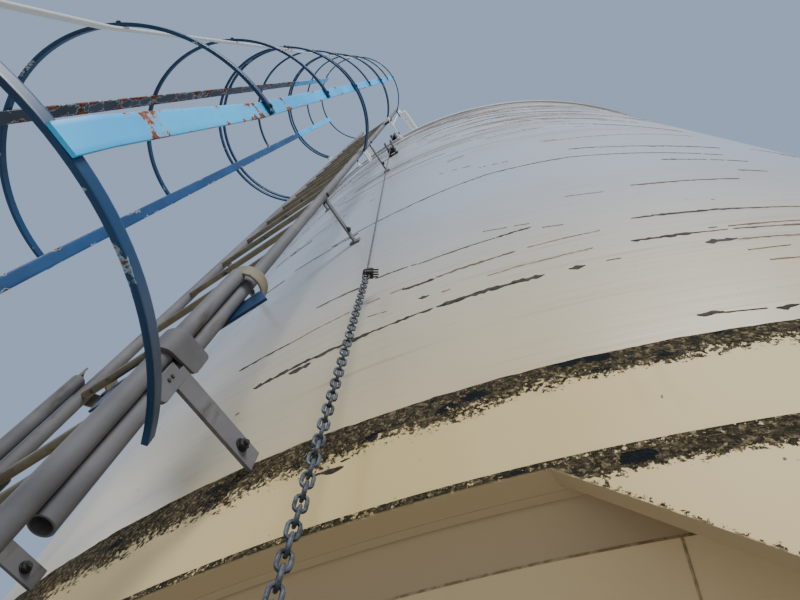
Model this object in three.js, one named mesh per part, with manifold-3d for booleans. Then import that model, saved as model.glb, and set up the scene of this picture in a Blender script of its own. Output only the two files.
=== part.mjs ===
// A glass-fibre grain silo on a cut-out skirt, with a hopper bottom, a caged ladder and a pull chain.
// Millimetres, +Z up. The ladder stands on the -Y side. Angles round the silo are counted
// anticlockwise seen from above, from the ladder's side.
import * as THREE from "three";
import { mergeVertices } from "three/addons/utils/BufferGeometryUtils.js";
import Module from "manifold-3d";

const wasm = await Module();
wasm.setup();

// General
const GAP = 0.3; // left between pieces that touch
const TURN_STEPS = 120; // facets round the silo
const RING_STEPS = 36; // facets round the hatch and the outlet
const BELOW = -100; // under everything
const ABOVE = 9000; // over everything
const BITE = 4; // how far two joined bodies run into each other

// Wall
const WALL_OUTER = 2300;
const WALL_THICK = 10;
const WALL_BOTTOM = 2097;
const WALL_TOP = 6520;
const WALL_SEGMENTS = 4;

// Skirt: a joint ring, and legs left standing between four openings
const RING_TOP = 2298;
const RING_THICK = 15;
const LEG_INNER = 2308;
const LEG_OUTER = 2328;
const LEG_TOP_LEDGE = 2110;
const OPENINGS = 4;
const OPENING_TOP_HALF = 600;
const OPENING_HALF = 1170;
const OPENING_SHOULDER = WALL_BOTTOM - (OPENING_HALF - OPENING_TOP_HALF);
const FOOT_INNER = 2230;
const FOOT_THICK = 14;

// Hopper
const HOPPER_SLOPE = THREE.MathUtils.degToRad(36);
const HOPPER_THICK = 10;
const HOPPER_COLLAR_TOP = 2278;
const HOPPER_TOP = 2122;
const OUTLET_RADIUS = 220;
const HOPPER_SEGMENTS = 4;
const HOPPER_SEAM = 17.4; // degrees from the ladder to the seam that shows
const OUTLET_WALL = 8;
const OUTLET_DROP = 90;
const OUTLET_FLANGE = 60;
const OUTLET_FLANGE_THICK = 10;
const GATE_PLATE = 8;
const GATE_HALF = 280;
const GATE_TAIL = 420;
const GRIP_WIDTH = 200;
const GRIP_HEIGHT = 60;

// Roof
const ROOF_OUTER = 2312;
const ROOF_LIP_BOTTOM = 6480;
const ROOF_EDGE = 6532;
const ROOF_RISE = 430;
const ROOF_THICK = 10;
const CROWN_RADIUS = 400;
const HATCH_RADIUS = 262;
const HATCH_WALL = 10;
const HATCH_FLANGE = 330;
const HATCH_HEIGHT = 150;
const LID_THICK = 12;
const LID_LIP = 40;
const LID_LIP_THICK = 10;
const LID_RISE = 18;
const LEVER_REACH = 380;
const LEVER_WIDTH = 30;
const LEVER_THICK = 12;
const LEVER_TAIL = 40;
const LEVER_LIFT = 46; // lever's top above the lid's edge
const LEVER_POSTS = [30, -200]; // where the lever's two posts stand, along its length
const LEVER_POST_THICK = 12;

// Ladder
const UPPER_STILE_Y = 2470;
const UPPER_STILE_X = 201.5;
const LOWER_STILE_Y = 2496.5;
const LOWER_STILE_X = 209;
const STILE = 26.9;
const UPPER_BOTTOM = 2038;
const UPPER_TOP = 7585;
const LOWER_BOTTOM = 300;
const LOWER_TOP = 2643;
const RUNG = 16;
const RUNG_STEP = 270;
const UPPER_FIRST_RUNG = 2330;
const LOWER_FIRST_RUNG = 467;
const STILE_SIDES = 12;
const RUNG_SIDES = 8;

// Stand-offs that hold the ladder to the wall
const ARM_HEIGHTS = [3470, 4870, 6440];
const ARM_WIDTH = 30;
const ARM_THICK = 6;
const ARM_FOOT = 36;
const FOOT_PLATE = 5;
const LOW_ARM_Z = 2300;
const LOW_ARM_WIDTH = 40;
const LUG_DEPTH = 28;
const LUG_BOTTOM = 2240;
const LUG_TOP = 2308;
const LUG_CORNER = 9;

// Clamps that hold the lower ladder section on the upper one
const CLAMP_THICK = 6;
const CLAMP_FRONT = [2295, 2355]; // bottom and top in front of the lower stile
const CLAMP_BACK = [2335, 2390]; // bottom and top at the wall end
const CLAMP_TIP_Y = 2448;
const CLAMP_CORNER = 9;
const CLAMP_TURN = 150; // degrees that it wraps round the lower stile
const CLAMP_STEPS = 10;

// Saddles at the lower section's top, round the wall side of the upper stiles
const SADDLE_X = 199;
const SADDLE_Y = 2468;
const SADDLE_RADIUS = 38;
const SADDLE_WALL = 4;
const SADDLE_BOTTOM = 2626;
const SADDLE_TOP = 2668;
const SADDLE_STEPS = 24;

// Flat bar across the wall side of the right upper stile, with a slanting end
const CROSS_BAR_LEFT = -120;
const CROSS_BAR_RIGHT = 288;
const CROSS_BAR_SLANT = 44;
const CROSS_BAR_BOTTOM = 2505;
const CROSS_BAR_TOP = 2602;
const CROSS_BAR_THICK = 5;

// Cage
const CAGE_Y = 2739;
const HOOP_RADIUS = 350;
const HOOP_HEIGHT = 20;
const HOOP_THICK = 8;
const HOOP_STEPS = 36;
const HOOP_FIRST_FACET = 1.5; // degrees, the middle of a flat of the hoops
const HOOP_HEIGHTS = [2170, 2981, 3733, 4503, 5135, 5911, 6542, 7202];
const DOUBLE_SPACE = 60;
const LEG_END_Y = 2412;
const HOOP_BOLT = 14;
const BOLT_HEAD = 9;
const BOLT_SIDES = 8;
const TIE_WIDTH = 30;

// Hoops with legs bolted to the stiles, by number, and how far off the stile each leg stands
const LEG_OFFSETS = new Map([[4, 0], [6, 36], [8, 0]]);
const DOUBLE_HOOPS = [4, 6];

// The lowest hoop is wider than the others, and its middle is a little off theirs
const FOOT_HOOP_X = 15;
const FOOT_HOOP_Y = 2749;
const FOOT_HOOP_RADIUS = 369;
const FOOT_HOOP_END_Y = 2450;

// Straps inside the hoops; the last one's foot is bent round the outside of the lowest hoop
const STRAP_WIDTH = 35;
const STRAP_THICK = 5;
const STRAP_ANGLES = [-88.5, -28.5, 31.5, 91.5];
const STRAP_OUTSIDE = 4;
const STRAP_OVERRUN = 25;
const STRAP_BEND = 60; // height of the bend over the lowest hoop, and under the next
const STRAP_CORNER = 0.7; // more clearance at the foot, for the corners of the lowest hoop's flats

// Grab rails at the top of the ladder, each of two tubes
const RAIL_TUBE = 27;
const RAIL_Z = 7600;
const RAIL_INNER_Y = 2130;
const RAIL_INNER_X = [239, 262];
const RAIL_OUTER_X = 248;
const RAIL_OUTER_Y = 2415;
const RAIL_POST_X = 250;
const RAIL_PLATE = 90;
const RAIL_PLATE_THICK = 30;
const RAIL_LINK = 8;
const RAIL_LINK_FOOT_Y = 2415;
const RAIL_LINK_TOP_X = 209;
const RAIL_LINK_TOP_Y = 2447;

// Roller at the rim, wire rope, clips and chain that work the hatch lid
const ROLLER_ANGLE = 3.5;
const ROLLER_Z = 6590;
const ROLLER_R = 30;
const ROLLER_Y = 2318;
const ROLLER_HALF = 14;
const CHEEK = 5;
const CHEEK_DEPTH = 90;
const CHEEK_HEIGHT = 120;
const CHEEK_BASE = 8;
const CHEEK_BASE_DEPTH = 72;
const ROLLER_PIN = 12;
const ROLLER_STEPS = 24;
const ROPE = 5;
const ROPE_SIDES = 8;
const CLIP_ANGLE = 8.6;
const CLIP_RADIUS = 2350;
const CLIP_Z = 2807;
const CHAIN_OUTER = 15;
const CHAIN_END_ANGLE = 10.1;
const CHAIN_END_RADIUS = 2408;
const CHAIN_END_Z = 1800;
const CLIP_LENGTH = 62;
const HOOK_LENGTH = 90;
const HOOK_WIDTH = 24;

// Guide on the wall that keeps the rope off it
const GUIDE_Z = 5530;
const GUIDE_REACH = 92;
const GUIDE_HEIGHT = 60;
const GUIDE_HALF = 20;
const GUIDE_PLATE_HALF = 33;
const GUIDE_ROLLER_R = 17;

const deg = THREE.MathUtils.degToRad;

// Place on the silo from an angle off the ladder's side, a radius and a height.
function onSilo(angle, radius, z) {
  const t = deg(angle - 90);
  return new THREE.Vector3(radius * Math.cos(t), radius * Math.sin(t), z);
}

// A closed geometry as a solid that faces outwards.
function solid(geometry) {
  const bare = geometry.clone();
  bare.deleteAttribute("normal");
  bare.deleteAttribute("uv");
  const merged = mergeVertices(bare, 1e-3);
  const triVerts = new Uint32Array(merged.index.array);
  const made = () =>
    new wasm.Manifold(
      new wasm.Mesh({ numProp: 3, vertProperties: merged.attributes.position.array, triVerts }),
    );
  if (made().volume() < 0) {
    for (let i = 0; i < triVerts.length; i += 3) {
      [triVerts[i + 1], triVerts[i + 2]] = [triVerts[i + 2], triVerts[i + 1]];
    }
  }
  return made();
}

// A solid back as a geometry.
function geometryOf(body) {
  const mesh = body.getMesh();
  const geometry = new THREE.BufferGeometry();
  geometry.setAttribute("position", new THREE.BufferAttribute(new Float32Array(mesh.vertProperties), 3));
  geometry.setIndex(new THREE.BufferAttribute(new Uint32Array(mesh.triVerts), 1));
  geometry.computeVertexNormals();
  return geometry;
}

const joined = (bodies) => bodies.reduce((sum, body) => sum.add(body));

// A profile of [radius, height] points turned round the vertical axis.
function turned(profile, steps = TURN_STEPS, start = 0) {
  const points = profile.map(([r, z]) => new THREE.Vector2(r, z));
  points.push(points[0].clone());
  return solid(new THREE.LatheGeometry(points, steps, start).rotateX(Math.PI / 2));
}

// An outline of [x, y] points pulled up from z = low to z = high.
function raised(outline, low, high) {
  const shape = new THREE.Shape(outline.map(([x, y]) => new THREE.Vector2(x, y)));
  const geometry = new THREE.ExtrudeGeometry(shape, { depth: high - low, bevelEnabled: false });
  return solid(geometry.translate(0, 0, low));
}

function block(width, depth, height, x, y, z) {
  return solid(new THREE.BoxGeometry(width, depth, height).translate(x, y, z));
}

// A round bar between two points.
function rod(from, to, diameter, sides) {
  const along = new THREE.Vector3().subVectors(to, from);
  const geometry = new THREE.CylinderGeometry(diameter / 2, diameter / 2, along.length(), sides);
  const turn = new THREE.Quaternion().setFromUnitVectors(
    new THREE.Vector3(0, 1, 0),
    along.clone().normalize(),
  );
  geometry.applyQuaternion(turn);
  const middle = new THREE.Vector3().addVectors(from, to).multiplyScalar(0.5);
  return solid(geometry.translate(middle.x, middle.y, middle.z));
}

// The sector of a body between two angles, less half a gap at each side.
function sector(body, from, to) {
  const middle = deg((from + to) / 2 - 90);
  const half = deg((to - from) / 2);
  const back = GAP / 2 / Math.sin(half);
  const reach = 2 * WALL_OUTER;
  const corner = (angle) => [
    back * Math.cos(middle) + reach * Math.cos(middle + angle),
    back * Math.sin(middle) + reach * Math.sin(middle + angle),
  ];
  const outline = [
    [back * Math.cos(middle), back * Math.sin(middle)],
    corner(-half),
    corner(0),
    corner(half),
  ];
  return body.intersect(raised(outline, BELOW, ABOVE));
}

// Everything that the silo's wall and joint ring, with their clearance, take from a piece on them.
const RING_OUTER = WALL_OUTER + GAP + RING_THICK;
const wallSpace = turned([
  [0, WALL_BOTTOM],
  [RING_OUTER + GAP, WALL_BOTTOM],
  [RING_OUTER + GAP, RING_TOP + GAP],
  [WALL_OUTER + GAP, RING_TOP + GAP],
  [WALL_OUTER + GAP, WALL_TOP],
  [0, WALL_TOP],
]);

const paint = {
  cream: { color: 0xc4b598, roughness: 0.35, metalness: 0 },
  tan: { color: 0xa08a62, roughness: 0.6, metalness: 0 },
  grey: { color: 0x6a6a6e, roughness: 0.55, metalness: 0.3 },
  blue: { color: 0x59b4dc, roughness: 0.5, metalness: 0.1 },
  white: { color: 0xe8e6df, roughness: 0.4, metalness: 0 },
  zinc: { color: 0x6e7078, roughness: 0.5, metalness: 0.8 },
  dark: { color: 0x22262b, roughness: 0.6, metalness: 0.3 },
};

// The frame's origin is under the middle of the whole silo's box, cage included.
const silo = new THREE.Group();
const CAGE_REACH = FOOT_HOOP_Y + FOOT_HOOP_RADIUS + HOOP_THICK / 2;
silo.position.y = (CAGE_REACH - LEG_OUTER) / 2;

function addPiece(name, body, finish) {
  const mesh = new THREE.Mesh(geometryOf(body), new THREE.MeshStandardMaterial(paint[finish]));
  mesh.name = name;
  silo.add(mesh);
}

// Wall: one cylinder in equal segments.
function addWall() {
  const inner = WALL_OUTER - WALL_THICK;
  const shell = turned([
    [inner, WALL_BOTTOM],
    [WALL_OUTER, WALL_BOTTOM],
    [WALL_OUTER, WALL_TOP - GAP],
    [inner, WALL_TOP - GAP],
  ]);
  const span = 360 / WALL_SEGMENTS;
  for (let i = 0; i < WALL_SEGMENTS; i += 1) {
    const from = -span / 2 + i * span;
    addPiece(`wall_segment_${i + 1}`, sector(shell, from, from + span), "cream");
  }
}

// Skirt: joint ring over four legs, each leg with its foot flange.
function addSkirt() {
  const inner = WALL_OUTER + GAP;
  const ring = turned([
    [inner, WALL_BOTTOM],
    [LEG_OUTER, WALL_BOTTOM],
    [LEG_OUTER, LEG_TOP_LEDGE],
    [RING_OUTER, LEG_TOP_LEDGE],
    [RING_OUTER, RING_TOP],
    [inner, RING_TOP],
  ]);
  const shell = turned([
    [LEG_INNER, 0],
    [LEG_OUTER, 0],
    [LEG_OUTER, LEG_TOP_LEDGE],
    [LEG_INNER, LEG_TOP_LEDGE],
  ]);
  const foot = turned([
    [FOOT_INNER, 0],
    [LEG_OUTER, 0],
    [LEG_OUTER, FOOT_THICK],
    [FOOT_INNER, FOOT_THICK],
  ]);
  const portal = [
    [-OPENING_HALF, BELOW],
    [OPENING_HALF, BELOW],
    [OPENING_HALF, OPENING_SHOULDER],
    [OPENING_TOP_HALF, WALL_BOTTOM],
    [-OPENING_TOP_HALF, WALL_BOTTOM],
    [-OPENING_HALF, OPENING_SHOULDER],
  ];
  const shape = new THREE.Shape(portal.map(([x, y]) => new THREE.Vector2(x, y)));
  let skirt = shell.add(foot);
  for (let i = 0; i < OPENINGS; i += 1) {
    const cutter = new THREE.ExtrudeGeometry(shape, { depth: 2 * LEG_OUTER, bevelEnabled: false });
    cutter.rotateX(Math.PI / 2).rotateZ(deg((i * 360) / OPENINGS));
    skirt = skirt.subtract(solid(cutter));
  }
  skirt = skirt.add(ring);
  const span = 360 / OPENINGS;
  for (let i = 0; i < OPENINGS; i += 1) {
    addPiece(`skirt_segment_${i + 1}`, sector(skirt, i * span, (i + 1) * span), "cream");
  }
}

const hopperZ = (radius) => HOPPER_TOP - (WALL_OUTER - radius) * Math.tan(HOPPER_SLOPE);

// Hopper: a shell cone with an upright collar bonded inside the wall.
function addHopper() {
  const outer = WALL_OUTER - WALL_THICK - GAP;
  const drop = HOPPER_THICK / Math.cos(HOPPER_SLOPE);
  const cone = turned([
    [outer, hopperZ(outer) - drop],
    [outer, HOPPER_COLLAR_TOP],
    [outer - HOPPER_THICK, HOPPER_COLLAR_TOP],
    [outer - HOPPER_THICK, hopperZ(outer - HOPPER_THICK)],
    [OUTLET_RADIUS, hopperZ(OUTLET_RADIUS)],
    [OUTLET_RADIUS, hopperZ(OUTLET_RADIUS) - drop],
  ]);
  const span = 360 / HOPPER_SEGMENTS;
  for (let i = 0; i < HOPPER_SEGMENTS; i += 1) {
    const from = HOPPER_SEAM + i * span;
    addPiece(`hopper_segment_${i + 1}`, sector(cone, from, from + span), "tan");
  }
  return hopperZ(OUTLET_RADIUS);
}

// Outlet: a short collar with a flange, closed by a slide plate with a grip.
function addOutlet(coneEnd) {
  const outer = OUTLET_RADIUS - GAP;
  const bottom = coneEnd - OUTLET_DROP;
  addPiece(
    "outlet_collar",
    turned(
      [
        [outer - OUTLET_WALL, bottom],
        [outer + OUTLET_FLANGE, bottom],
        [outer + OUTLET_FLANGE, bottom + OUTLET_FLANGE_THICK],
        [outer, bottom + OUTLET_FLANGE_THICK],
        [outer, coneEnd],
        [outer - OUTLET_WALL, coneEnd],
      ],
      RING_STEPS,
    ),
    "grey",
  );
  const plateTop = bottom - GAP;
  const plate = block(
    2 * GATE_HALF,
    GATE_HALF + GATE_TAIL,
    GATE_PLATE,
    0,
    (GATE_TAIL - GATE_HALF) / 2,
    plateTop - GATE_PLATE / 2,
  );
  const grip = block(
    GRIP_WIDTH,
    GATE_PLATE,
    GRIP_HEIGHT,
    0,
    GATE_TAIL - GATE_PLATE / 2,
    plateTop - GRIP_HEIGHT / 2,
  );
  addPiece("slide_gate", plate.add(grip), "zinc");
}

const roofZ = (radius) =>
  ROOF_EDGE +
  (ROOF_RISE * (ROOF_OUTER - Math.max(radius, CROWN_RADIUS))) / (ROOF_OUTER - CROWN_RADIUS);

// Roof: a low shell cone with a flat crown and a lip that turns down over the wall.
function addRoof() {
  const lipInner = WALL_OUTER + GAP;
  const wallInner = WALL_OUTER - WALL_THICK;
  addPiece(
    "roof",
    turned([
      [lipInner, ROOF_LIP_BOTTOM],
      [ROOF_OUTER, ROOF_LIP_BOTTOM],
      [ROOF_OUTER, roofZ(ROOF_OUTER)],
      [CROWN_RADIUS, roofZ(CROWN_RADIUS)],
      [HATCH_RADIUS, roofZ(CROWN_RADIUS)],
      [HATCH_RADIUS, roofZ(CROWN_RADIUS) - ROOF_THICK],
      [CROWN_RADIUS, roofZ(CROWN_RADIUS) - ROOF_THICK],
      [wallInner - ROOF_THICK, roofZ(wallInner - ROOF_THICK) - ROOF_THICK],
      [wallInner - ROOF_THICK, WALL_TOP],
      [lipInner, WALL_TOP],
    ]),
    "cream",
  );
}

// Hatch: a flanged collar on the crown, and its closed lid with a lever arm for the wire.
function addHatch() {
  const seat = roofZ(0) + GAP;
  const tubeOuter = HATCH_RADIUS + HATCH_WALL;
  addPiece(
    "hatch_collar",
    turned(
      [
        [HATCH_RADIUS, seat],
        [HATCH_FLANGE, seat],
        [HATCH_FLANGE, seat + HATCH_WALL],
        [tubeOuter, seat + HATCH_WALL],
        [tubeOuter, seat + HATCH_HEIGHT],
        [HATCH_RADIUS, seat + HATCH_HEIGHT],
      ],
      RING_STEPS,
    ),
    "cream",
  );
  const lidBottom = seat + HATCH_HEIGHT + GAP;
  const lipInner = tubeOuter + GAP;
  const lid = turned(
    [
      [0, lidBottom],
      [lipInner, lidBottom],
      [lipInner, lidBottom - LID_LIP],
      [lipInner + LID_LIP_THICK, lidBottom - LID_LIP],
      [lipInner + LID_LIP_THICK, lidBottom + LID_THICK],
      [0, lidBottom + LID_THICK + LID_RISE],
    ],
    RING_STEPS,
  );
  const leverTop = lidBottom + LID_THICK + LEVER_LIFT;
  const bodies = [
    block(
      LEVER_WIDTH,
      LEVER_REACH + LEVER_TAIL,
      LEVER_THICK,
      0,
      (LEVER_TAIL - LEVER_REACH) / 2,
      leverTop - LEVER_THICK / 2,
    ),
  ];
  for (const y of LEVER_POSTS) {
    const low = lidBottom + LID_THICK / 2;
    const high = leverTop - LEVER_THICK / 2;
    bodies.push(block(LEVER_WIDTH, LEVER_POST_THICK, high - low, 0, y, (low + high) / 2));
  }
  const turn = new THREE.Matrix4().makeRotationZ(deg(ROLLER_ANGLE)).elements;
  addPiece("hatch_lid", lid.add(joined(bodies).transform(turn)), "cream");
  return leverTop;
}

// Place by its distance in front of the silo's axis, towards the ladder.
const inFront = (x, distance, z) => new THREE.Vector3(x, -distance, z);

// An outline of [distance, z] points seen from the side, made as wide as told across X.
function sideways(shape, width, x) {
  const geometry = new THREE.ExtrudeGeometry(shape, { depth: width, bevelEnabled: false });
  const frame = new THREE.Matrix4().makeBasis(
    new THREE.Vector3(0, -1, 0),
    new THREE.Vector3(0, 0, 1),
    new THREE.Vector3(-1, 0, 0),
  );
  return geometry.applyMatrix4(frame).translate(x + width / 2, 0, 0);
}

// A stand-off bar from the stiles to a face at the given radius, with an upright foot on the face.
function standOff(x, z, width, foot, face) {
  const from = UPPER_STILE_Y;
  const to = WALL_OUTER - ARM_FOOT;
  const bar = block(ARM_THICK, from - to, width, x, -(from + to) / 2, z);
  const outer = face + FOOT_PLATE;
  const footPlate = block(foot, outer - to, foot, x, -(outer + to) / 2, z);
  return bar.add(footPlate).subtract(wallSpace);
}

// An upright tube in front of the wall.
function upright(x, distance, low, high, diameter) {
  return rod(inFront(x, distance, low), inFront(x, distance, high), diameter, STILE_SIDES);
}

// A rung that reaches equally far to both sides.
function crossing(reach, distance, z) {
  return rod(inFront(-reach, distance, z), inFront(reach, distance, z), RUNG, RUNG_SIDES);
}

// Upper ladder section: stiles, rungs and thin stand-offs.
function addUpperLadder() {
  const bodies = [];
  for (const side of [-1, 1]) {
    bodies.push(upright(side * UPPER_STILE_X, UPPER_STILE_Y, UPPER_BOTTOM, UPPER_TOP, STILE));
    for (const z of ARM_HEIGHTS) {
      bodies.push(standOff(side * UPPER_STILE_X, z, ARM_WIDTH, ARM_FOOT, WALL_OUTER));
    }
  }
  for (let z = UPPER_FIRST_RUNG; z < WALL_TOP; z += RUNG_STEP) {
    bodies.push(crossing(UPPER_STILE_X, UPPER_STILE_Y, z));
  }
  addPiece("upper_ladder", joined(bodies), "grey");
}

// A bent plate round the wall side of an upper stile, welded to the lower stile in front of it.
function saddle(side) {
  const inner = SADDLE_RADIUS - SADDLE_WALL;
  const profile = [
    [inner, SADDLE_BOTTOM],
    [SADDLE_RADIUS, SADDLE_BOTTOM],
    [SADDLE_RADIUS, SADDLE_TOP],
    [inner, SADDLE_TOP],
  ];
  const ring = turned(profile, SADDLE_STEPS).translate([side * SADDLE_X, -SADDLE_Y, 0]);
  const far = 2 * SADDLE_RADIUS;
  const open = block(
    far,
    far,
    far,
    side * (SADDLE_X - far / 2),
    -(SADDLE_Y + far / 2),
    SADDLE_TOP,
  );
  return ring.subtract(open);
}

// Lower ladder section, in front of the upper one and a little wider, with the saddles at its top.
function addLowerLadder() {
  const bodies = [];
  for (const side of [-1, 1]) {
    bodies.push(upright(side * LOWER_STILE_X, LOWER_STILE_Y, LOWER_BOTTOM, LOWER_TOP, STILE));
    bodies.push(saddle(side));
  }
  for (let z = LOWER_FIRST_RUNG; z < UPPER_FIRST_RUNG - RUNG; z += RUNG_STEP) {
    bodies.push(crossing(LOWER_STILE_X, LOWER_STILE_Y, z));
  }
  addPiece("lower_ladder", joined(bodies), "grey");
}

// Space that the four stiles take, with their clearance.
function stileSpace() {
  const bodies = [];
  const thick = STILE + 2 * GAP;
  for (const side of [-1, 1]) {
    const [upper, lower] = [side * UPPER_STILE_X, side * LOWER_STILE_X];
    bodies.push(upright(upper, UPPER_STILE_Y, UPPER_BOTTOM - GAP, UPPER_TOP + GAP, thick));
    bodies.push(upright(lower, LOWER_STILE_Y, LOWER_BOTTOM - GAP, LOWER_TOP + GAP, thick));
  }
  return joined(bodies);
}

// Arms beside the upper stiles that hold the ladder to the joint ring, each with a rounded lug.
function addWallArms() {
  const x = UPPER_STILE_X + STILE / 2 + GAP + ARM_THICK / 2;
  const [near, far] = [UPPER_STILE_Y - LUG_DEPTH / 2, UPPER_STILE_Y + LUG_DEPTH / 2];
  const lug = new THREE.Shape();
  lug.moveTo(near, LUG_TOP);
  lug.lineTo(near, LUG_BOTTOM + LUG_CORNER);
  lug.quadraticCurveTo(near, LUG_BOTTOM, near + LUG_CORNER, LUG_BOTTOM);
  lug.lineTo(far - LUG_CORNER, LUG_BOTTOM);
  lug.quadraticCurveTo(far, LUG_BOTTOM, far, LUG_BOTTOM + LUG_CORNER);
  lug.lineTo(far, LUG_TOP);
  for (const [name, side] of [["left", -1], ["right", 1]]) {
    const arm = standOff(side * x, LOW_ARM_Z, LOW_ARM_WIDTH, LOW_ARM_WIDTH, RING_OUTER);
    addPiece(`wall_arm_${name}`, arm.add(solid(sideways(lug, ARM_THICK, side * x))), "grey");
  }
}

// The clamp seen from above: round the lower stile's front, then straight past both stiles.
function clampOutline(side) {
  const lower = new THREE.Vector2(LOWER_STILE_X, LOWER_STILE_Y);
  const upper = new THREE.Vector2(UPPER_STILE_X, UPPER_STILE_Y);
  const along = lower.clone().sub(upper).normalize();
  const inner = STILE / 2 + GAP;
  const outer = inner + CLAMP_THICK;
  const place = (turn, radius, back) => {
    const off = new THREE.Vector2(along.y, -along.x).multiplyScalar(radius * Math.cos(turn));
    const on = along.clone().multiplyScalar(radius * Math.sin(turn) - back);
    const point = lower.clone().add(off).add(on);
    return [side * point.x, -point.y];
  };
  const back = 2 * (LOWER_STILE_Y - CLAMP_TIP_Y);
  const turns = Array.from({ length: CLAMP_STEPS + 1 }, (_, i) => (deg(CLAMP_TURN) * i) / CLAMP_STEPS);
  const outside = turns.map((turn) => place(turn, outer, 0));
  const inside = turns.map((turn) => place(turn, inner, 0)).reverse();
  return [place(0, inner, back), place(0, outer, back), ...outside, ...inside];
}

// Clamps: bent plates whose wall end is higher than their front and has rounded corners.
function addClamps(stiles) {
  const front = LOWER_STILE_Y + STILE;
  const corner = CLAMP_TIP_Y + CLAMP_CORNER;
  const [low, high] = CLAMP_BACK;
  const shape = new THREE.Shape();
  shape.moveTo(front, CLAMP_FRONT[0]);
  shape.lineTo(front, CLAMP_FRONT[1]);
  shape.lineTo(corner, high);
  shape.quadraticCurveTo(CLAMP_TIP_Y, high, CLAMP_TIP_Y, high - CLAMP_CORNER);
  shape.lineTo(CLAMP_TIP_Y, low + CLAMP_CORNER);
  shape.quadraticCurveTo(CLAMP_TIP_Y, low, corner, low);
  const side = solid(sideways(shape, 3 * LOWER_STILE_X, 0));
  for (const [name, sign] of [["left", -1], ["right", 1]]) {
    const strip = raised(clampOutline(sign), CLAMP_FRONT[0] - BITE, high + BITE);
    addPiece(`ladder_clamp_${name}`, strip.intersect(side).subtract(stiles), "grey");
  }
}

// A flat bar behind the right upper stile.
function addCrossBar(stiles) {
  const outline = [
    [CROSS_BAR_LEFT, CROSS_BAR_BOTTOM],
    [CROSS_BAR_RIGHT, CROSS_BAR_BOTTOM],
    [CROSS_BAR_RIGHT - CROSS_BAR_SLANT, CROSS_BAR_TOP],
    [CROSS_BAR_LEFT, CROSS_BAR_TOP],
  ];
  const shape = new THREE.Shape(outline.map(([x, z]) => new THREE.Vector2(x, z)));
  const geometry = new THREE.ExtrudeGeometry(shape, { depth: CROSS_BAR_THICK, bevelEnabled: false });
  const back = UPPER_STILE_Y - STILE / 2 - GAP - CROSS_BAR_THICK;
  const bar = solid(geometry.rotateX(Math.PI / 2).translate(0, -back, 0));
  addPiece("cross_bar", bar.subtract(stiles), "blue");
}

// A closed ring of flat bar, in flats that meet the straps squarely.
function barRing(radius, x, distance, z) {
  const inner = radius - HOOP_THICK / 2;
  const outer = radius + HOOP_THICK / 2;
  const low = z - HOOP_HEIGHT / 2;
  const high = z + HOOP_HEIGHT / 2;
  const profile = [[inner, low], [outer, low], [outer, high], [inner, high]];
  const start = deg(HOOP_FIRST_FACET + 180 / HOOP_STEPS);
  return turned(profile, HOOP_STEPS, start).translate([x, -distance, 0]);
}

// A bolt from an upper stile outwards through a hoop's end, to a little past its face.
function endBolt(side, face, z) {
  const from = inFront(side * UPPER_STILE_X, UPPER_STILE_Y, z);
  const to = inFront(side * (face + BOLT_HEAD), UPPER_STILE_Y, z);
  return rod(from, to, HOOP_BOLT, BOLT_SIDES);
}

// A ring with everything nearer the wall than the given distance taken off.
function openedRing(ring, distance, z) {
  const far = 3 * HOOP_RADIUS;
  return ring.subtract(block(2 * far, far, 2 * HOOP_HEIGHT, 0, far / 2 - distance, z));
}

// The lowest hoop: a wide arc that ends beside the upper stiles.
function footHoop(z, stiles) {
  const ring = barRing(FOOT_HOOP_RADIUS, FOOT_HOOP_X, FOOT_HOOP_Y, z);
  const across = Math.sqrt(FOOT_HOOP_RADIUS ** 2 - (FOOT_HOOP_Y - UPPER_STILE_Y) ** 2);
  const bodies = [openedRing(ring, FOOT_HOOP_END_Y, z)];
  for (const side of [-1, 1]) {
    bodies.push(endBolt(side, across + side * FOOT_HOOP_X + HOOP_THICK / 2, z));
  }
  return joined(bodies).subtract(stiles);
}

// A hoop without legs, which ends with the outer straps.
function halfHoop(z) {
  const past = Math.asin(STRAP_WIDTH / 2 / HOOP_RADIUS);
  const from = deg(STRAP_ANGLES[0]) - past;
  const to = deg(STRAP_ANGLES[STRAP_ANGLES.length - 1]) + past;
  const far = 2 * HOOP_RADIUS;
  const front = [[0, 0]];
  for (const part of [0, 0.25, 0.5, 0.75, 1]) {
    const angle = from + part * (to - from);
    front.push([far * Math.sin(angle), -far * Math.cos(angle)]);
  }
  const keep = raised(front, z - HOOP_HEIGHT, z + HOOP_HEIGHT).translate([0, -CAGE_Y, 0]);
  return barRing(HOOP_RADIUS, 0, CAGE_Y, z).intersect(keep);
}

// A hoop with straight legs, bolted to the stiles.
function leggedHoop(z, offset, stiles) {
  const legX = UPPER_STILE_X + STILE / 2 + GAP + HOOP_THICK / 2 + offset;
  const legStart = CAGE_Y - Math.sqrt(HOOP_RADIUS ** 2 - legX ** 2);
  const bodies = [openedRing(barRing(HOOP_RADIUS, 0, CAGE_Y, z), legStart, z)];
  const legLength = legStart + BITE - LEG_END_Y;
  for (const side of [-1, 1]) {
    const middle = LEG_END_Y + legLength / 2;
    bodies.push(block(HOOP_THICK, legLength, HOOP_HEIGHT, side * legX, -middle, z));
    bodies.push(endBolt(side, legX + HOOP_THICK / 2, z));
  }
  return joined(bodies).subtract(stiles);
}

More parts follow.
